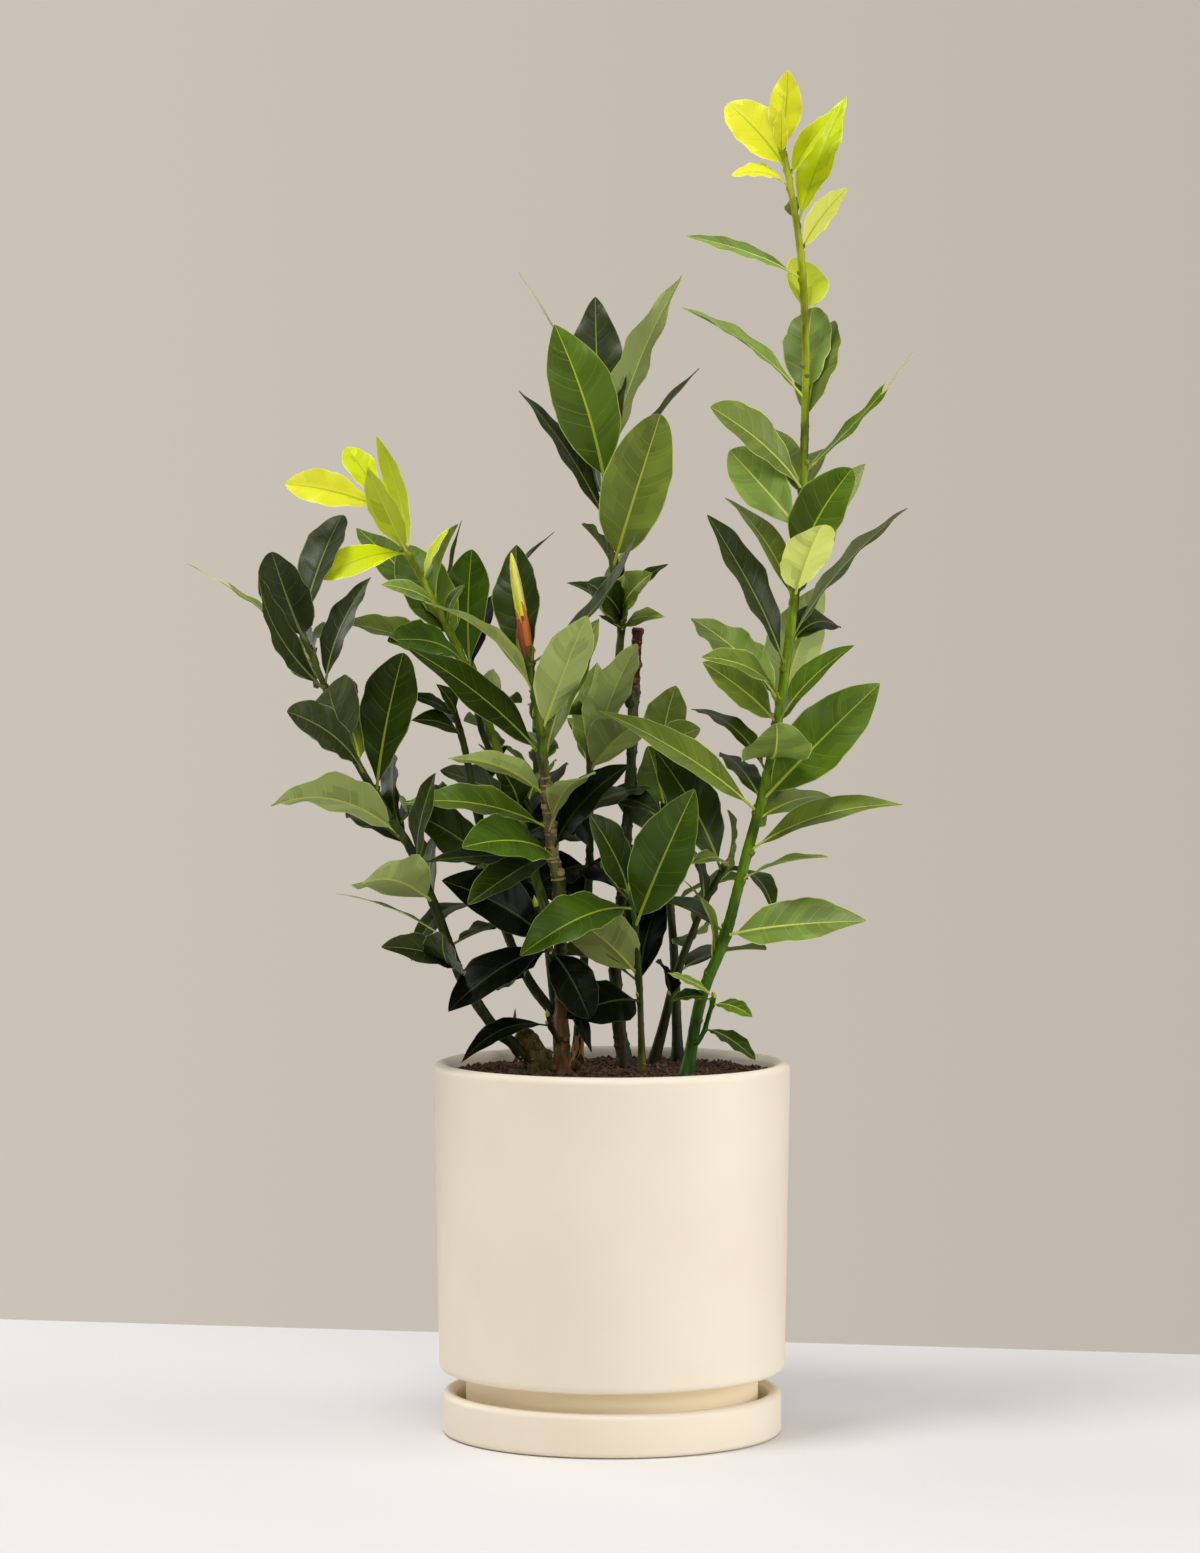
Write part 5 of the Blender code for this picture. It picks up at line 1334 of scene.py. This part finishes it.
def add_foliage(shoot, blades, line, radii, buds, materials, draw):
    """The leaves of one shoot as one piece, and their buds. Returns where their petioles start: the
    length along the stem and the angle round it."""
    shells = Shells()
    lengths = lengths_along(line)
    first, second = ring_frames(line)
    marks = []
    for blade, tone in blades:
        add_leaf(shells, blade, leaf_form(blade, draw), tone)
        length = float(np.interp(blade.root[2], line[:, 2], lengths))
        toward = np.array(blade.tip - blade.root)
        index = int(np.clip(np.searchsorted(lengths, length), 0, len(line) - 1))
        marks.append((length, math.atan2(second[index].dot(toward), first[index].dot(toward))))
        add_axil_bud(buds, line, radii, length, toward, draw)
    slot = "young_leaf" if shoot.name == "lime" else "leaf"
    shells.to_piece(shoot.name + "_foliage", materials, slot, shoot.name + "_leaves")
    return marks


def plant():
    """Each shoot's leaves, bark and tip bud, where the solids have them, and the small details."""
    leaves = leaf_materials()
    wood = wood_materials()
    rule_draw = random.Random(SEED)
    built = {}
    buds = Shells()
    for number, shoot in enumerate(SHOOTS):
        start = first_points(shoot, built)
        built[shoot.name] = stem_rings(shoot, start, STEM_STEP)
        line, radii = stem_rings(shoot, start, FINE_STEP)
        marks = []
        if shoot.bud is not None:
            blades = placed_blades(shoot, built[shoot.name][0], rule_draw)
            marks = add_foliage(shoot, blades, line, radii, buds, leaves, random.Random(number))
            add_tip_bud(buds, shoot, line)
        bark = Shells()
        add_bark(bark, shoot.name, line, radii, marks, number)
        slot = "green_bark" if shoot.name in GREEN_STEMS else "brown_bark"
        node = shoot.name + "_stem"
        bark.to_piece(shoot.name + "_bark", wood, slot, *([node] if node in frame["nodes"] else []))
    buds.to_piece("buds", wood, "leaf")
    details = Shells()
    add_details(details)
    details.to_piece("stem_details", wood, "brown_bark")


# ---------------------------------------------------------------- pot and soil

def lathe(profile, slot_at):
    """A turned closed shape from a (radius, height) profile that starts and ends on the axis.
    slot_at gives the material name at a radius and height."""
    profile = np.array(profile, dtype=float)
    angles = round_angles(POT_STEPS)[None, :]
    rings = profile[1:-1]
    points = np.stack([
        rings[:, :1] * np.cos(angles), rings[:, :1] * np.sin(angles),
        np.repeat(rings[:, 1:], POT_STEPS, axis=1)], axis=-1).reshape(-1, 3)
    ends = np.array([[0.0, 0.0, profile[0, 1]], [0.0, 0.0, profile[-1, 1]]])
    along = np.arange(POT_STEPS)
    across = (along + 1) % POT_STEPS
    base = (len(rings) - 1) * POT_STEPS
    low = np.stack([across, along, np.full(POT_STEPS, len(points))], axis=-1)
    high = np.stack([base + along, base + across, np.full(POT_STEPS, len(points) + 1)], axis=-1)
    slots = np.repeat([slot_at(*ring) for ring in rings[:-1]], POT_STEPS)
    shells = Shells()
    quads = tube_faces(len(rings), POT_STEPS)[0]
    shells.add(np.vstack([points, ends]), [quads, low, high], [slots, slots[0], slots[-1]])
    return shells


def arc(centre, radius, start, end, steps):
    angles = np.radians(np.linspace(start, end, steps + 1))
    return [(centre[0] + radius * math.cos(a), centre[1] + radius * math.sin(a)) for a in angles]


def ceramic_materials():
    """The cream glaze, a little uneven, and the bare clay, made brighter and warmer as a painted glow of
    bounced light.
    """
    glaze, shader, tree = new_material("cream_ceramic", CERAMIC_COLOUR, 0.5)
    add_bump(tree, shader, add_noise(tree, 900.0, 2.0), 0.00006, 0.35)
    dark, light = CERAMIC_TINTS
    tint = add_ramp(tree, add_noise(tree, 14.0, 2.0), [(0.3, srgb(*dark)), (0.7, srgb(*light))])
    tree.links.new(tint, shader.inputs["Base Color"])
    return {"ceramic": glaze, "foot": grained("bare_clay_glow", CLAY_GLOW_COLOUR, 0.8, 600.0, 0.0001, 0.5, detail=4.0)}


def saucer(materials):
    """The saucer; its flat inside is bare clay with a painted glow."""
    inner = SAUCER_RADIUS - SAUCER_WALL
    lip = SAUCER_WALL / 2
    profile = [
        (0.0, 0.0),
        *arc((SAUCER_RADIUS - SAUCER_ROUND, SAUCER_ROUND), SAUCER_ROUND, -90, 0, 8),
        *arc((inner + lip, SAUCER_HEIGHT - lip), lip, 0, 180, 16),
        *arc((inner - SAUCER_ROUND, SAUCER_FLOOR + SAUCER_ROUND), SAUCER_ROUND, 0, -90, 8),
        (0.0, SAUCER_FLOOR)]

    def slot_at(radius, height):
        inside = radius < SAUCER_RADIUS - lip and height < SAUCER_HEIGHT - BARE_BELOW_RIM
        return "foot" if inside else "ceramic"

    lathe(profile, slot_at).to_piece("saucer_dish", materials, "ceramic", "saucer")


def pot(materials):
    """The pot; its narrow foot and its underside are bare clay with a painted glow."""
    bottom = SAUCER_FLOOR + GAP
    lip = POT_WALL / 2
    foot_inner = POT_FOOT_RADIUS - POT_WALL
    thicker, upper, lower = POT_INSIDE
    under = bottom + POT_FLOOR - DRAIN_WEB
    small, large = POT_ROUNDS
    profile = [
        (0.0, under), (DRAIN_RADIUS, under),
        *arc((DRAIN_RADIUS + DRAIN_ROUND, bottom + DRAIN_ROUND), DRAIN_ROUND, 180, 270, 4),
        *arc((POT_FOOT_RADIUS - small, bottom + small), small, -90, 0, 6),
        *arc((POT_FOOT_RADIUS + small, POT_BODY_BOTTOM - small), small, 180, 90, 6),
        *arc((POT_BODY_RADIUS - large, POT_BODY_BOTTOM + large), large, -90, 0, 10),
        *arc((POT_RIM_RADIUS - lip, POT_TOP - lip), lip, 0, 180, 18),
        (POT_RIM_RADIUS - POT_WALL - thicker, upper), (foot_inner, lower), (foot_inner, bottom + POT_FLOOR),
        (0.0, bottom + POT_FLOOR)]

    def slot_at(radius, height):
        on_foot = height < POT_BODY_BOTTOM and radius < POT_FOOT_RADIUS + small
        return "foot" if on_foot else "ceramic"

    lathe(profile, slot_at).to_piece("pot_shell", materials, "ceramic", "pot")


def soil():
    """A disc of crumbly soil with a rough top, and loose crumbs on it."""
    material, shader, tree = new_material("potting_soil", SOIL_COLOUR, 0.95)
    grain = add_noise(tree, 420.0, 6.0)
    colour = add_ramp(tree, grain, [(place, srgb(*tint)) for place, tint in SOIL_TINTS])
    tree.links.new(colour, shader.inputs["Base Color"])
    add_bump(tree, shader, grain, 0.0012, 0.9)
    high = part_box("soil")[1]
    radius = high[0] / MM - SOIL_EDGE
    top = high[2] / MM
    points = []
    for ring in range(SOIL_RINGS):
        reach = radius * (1.0 - ring / SOIL_RINGS)
        for angle in round_angles(SOIL_SIDES):
            x, y = reach * math.cos(angle), reach * math.sin(angle)
            rise = sum(height * noise.noise(Vector((x, y, place)) * scale)
                       for height, scale, place in SOIL_LUMPS)
            points.append((x, y, top - SOIL_SUNK + rise))
    points = np.array(points)
    base = points[:SOIL_SIDES] * (1.0, 1.0, 0.0) + UP * (top - SOIL_DEPTH)
    shells = Shells()
    shells.add(np.vstack([base, points]), tube_faces(SOIL_RINGS + 1, SOIL_SIDES), ["soil"] * 3)
    draw = random.Random(CRUMB_SEED)
    for _ in range(CRUMBS):
        reach = radius * math.sqrt(draw.random()) * 0.99
        angle = draw.uniform(0.0, 2.0 * math.pi)
        size = draw.uniform(0.5, 1.0) ** 2 * CRUMB_SIZE
        reach = min(reach, radius - size)
        height = top - 0.2 + draw.uniform(0.0, 1.0)
        add_crumb(shells, np.array([reach * math.cos(angle), reach * math.sin(angle), height]), size, draw)
    shells.to_piece("soil_surface", {"soil": material}, "soil", "soil")


def add_crumb(shells, centre, size, draw):
    """A small angular lump: a squashed octahedron with its corners moved at random."""
    corners = np.array([(1, 0, 0), (0, 1, 0), (-1, 0, 0), (0, -1, 0), (0, 0, 1), (0, 0, -1)], dtype=float)
    turn = draw.uniform(0.0, math.pi)
    spin = np.array([[math.cos(turn), -math.sin(turn), 0.0], [math.sin(turn), math.cos(turn), 0.0], UP])
    stretch = np.array([draw.uniform(0.6, 1.3), draw.uniform(0.5, 1.0), draw.uniform(0.35, 0.8)])
    jitter = np.array([[draw.uniform(-0.2, 0.2) for _ in range(3)] for _ in range(6)])
    points = centre + ((corners + jitter) * stretch) @ spin.T * size
    faces = np.array([(0, 1, 4), (1, 2, 4), (2, 3, 4), (3, 0, 4), (1, 0, 5), (2, 1, 5), (3, 2, 5), (0, 3, 5)])
    shells.add(points, [faces], ["soil"])


# ---------------------------------------------------------------- stage, light and camera

def stage():
    """A plain pale table whose back edge runs a little askew, behind the pot."""
    bpy.ops.mesh.primitive_plane_add(size=1.0)
    floor = bpy.context.object
    floor.name = "table"
    left_back, right_back = TABLE_BACK
    corners = [(-TABLE_HALF_WIDTH, TABLE_FRONT), (TABLE_HALF_WIDTH, TABLE_FRONT),
               (-TABLE_HALF_WIDTH, left_back), (TABLE_HALF_WIDTH, right_back)]
    for vertex, (x, y) in zip(floor.data.vertices, corners):
        vertex.co = (x, y, -TABLE_DROP)
    floor.data.materials.append(grained("table_white", TABLE_COLOUR, 0.7, 60.0, 0.0001, 0.2))


def backdrop():
    """Soft light from all round, and a taupe backdrop that darkens a little to the right."""
    world = bpy.data.worlds.new("studio")
    bpy.context.scene.world = world
    world.use_nodes = True
    tree = world.node_tree
    light = tree.nodes["Background"]
    light.inputs["Color"].default_value = SKY_COLOUR
    split = add_node(tree, "SeparateXYZ", Vector=add_node(tree, "TexCoord").outputs["Generated"])
    above = add_node(tree, "MapRange", Value=split.outputs["Z"], To_Min=SKY_LOW, To_Max=SKY_LOW + SKY_MORE)
    tree.links.new(above.outputs["Result"], light.inputs["Strength"])
    widen = add_node(tree, "MapRange", Value=split.outputs["X"],
                     From_Min=-BACKDROP_SPREAD, From_Max=BACKDROP_SPREAD)
    left, right = srgb(*BACKDROP_LEFT), srgb(*BACKDROP_RIGHT)
    shades = add_ramp(tree, widen.outputs["Result"], [(0.0, left), (1.0, right)])
    seen = add_node(tree, "Background", Color=shades)
    mix = add_node(tree, "MixShader", Fac=add_node(tree, "LightPath").outputs["Is Camera Ray"])
    tree.links.new(light.outputs["Background"], mix.inputs[1])
    tree.links.new(seen.outputs["Background"], mix.inputs[2])
    tree.links.new(mix.outputs["Shader"], tree.nodes["World Output"].inputs["Surface"])


def place_in_scene(name, data, place, target):
    """An object at a place, with its view or light turned to a target."""
    holder = bpy.data.objects.new(name, data)
    bpy.context.scene.collection.objects.link(holder)
    holder.location = place
    holder.rotation_euler = (Vector(target) - Vector(place)).to_track_quat("-Z", "Y").to_euler()
    return holder


def softbox(name, place, target, size, watts):
    lamp = bpy.data.lights.new(name, "AREA")
    lamp.shape = "RECTANGLE"
    lamp.size, lamp.size_y = size
    lamp.energy = watts
    place_in_scene(name, lamp, place, target)


def camera():
    """The camera at the photo's angle."""
    lens = bpy.data.cameras.new("camera")
    lens.sensor_fit = "VERTICAL"
    lens.sensor_height = SENSOR
    lens.lens = SENSOR * CAMERA_DISTANCE / VIEW_HEIGHT
    place = (CAMERA_X, -CAMERA_DISTANCE, CAMERA_Z)
    bpy.context.scene.camera = place_in_scene("camera", lens, place, (CAMERA_X, 0.0, AIM_Z))
    bpy.context.scene.view_settings.view_transform = "Standard"


clay = ceramic_materials()
saucer(clay)
pot(clay)
soil()
plant()
stage()
backdrop()
for box in SOFTBOXES:
    softbox(*box)
camera()
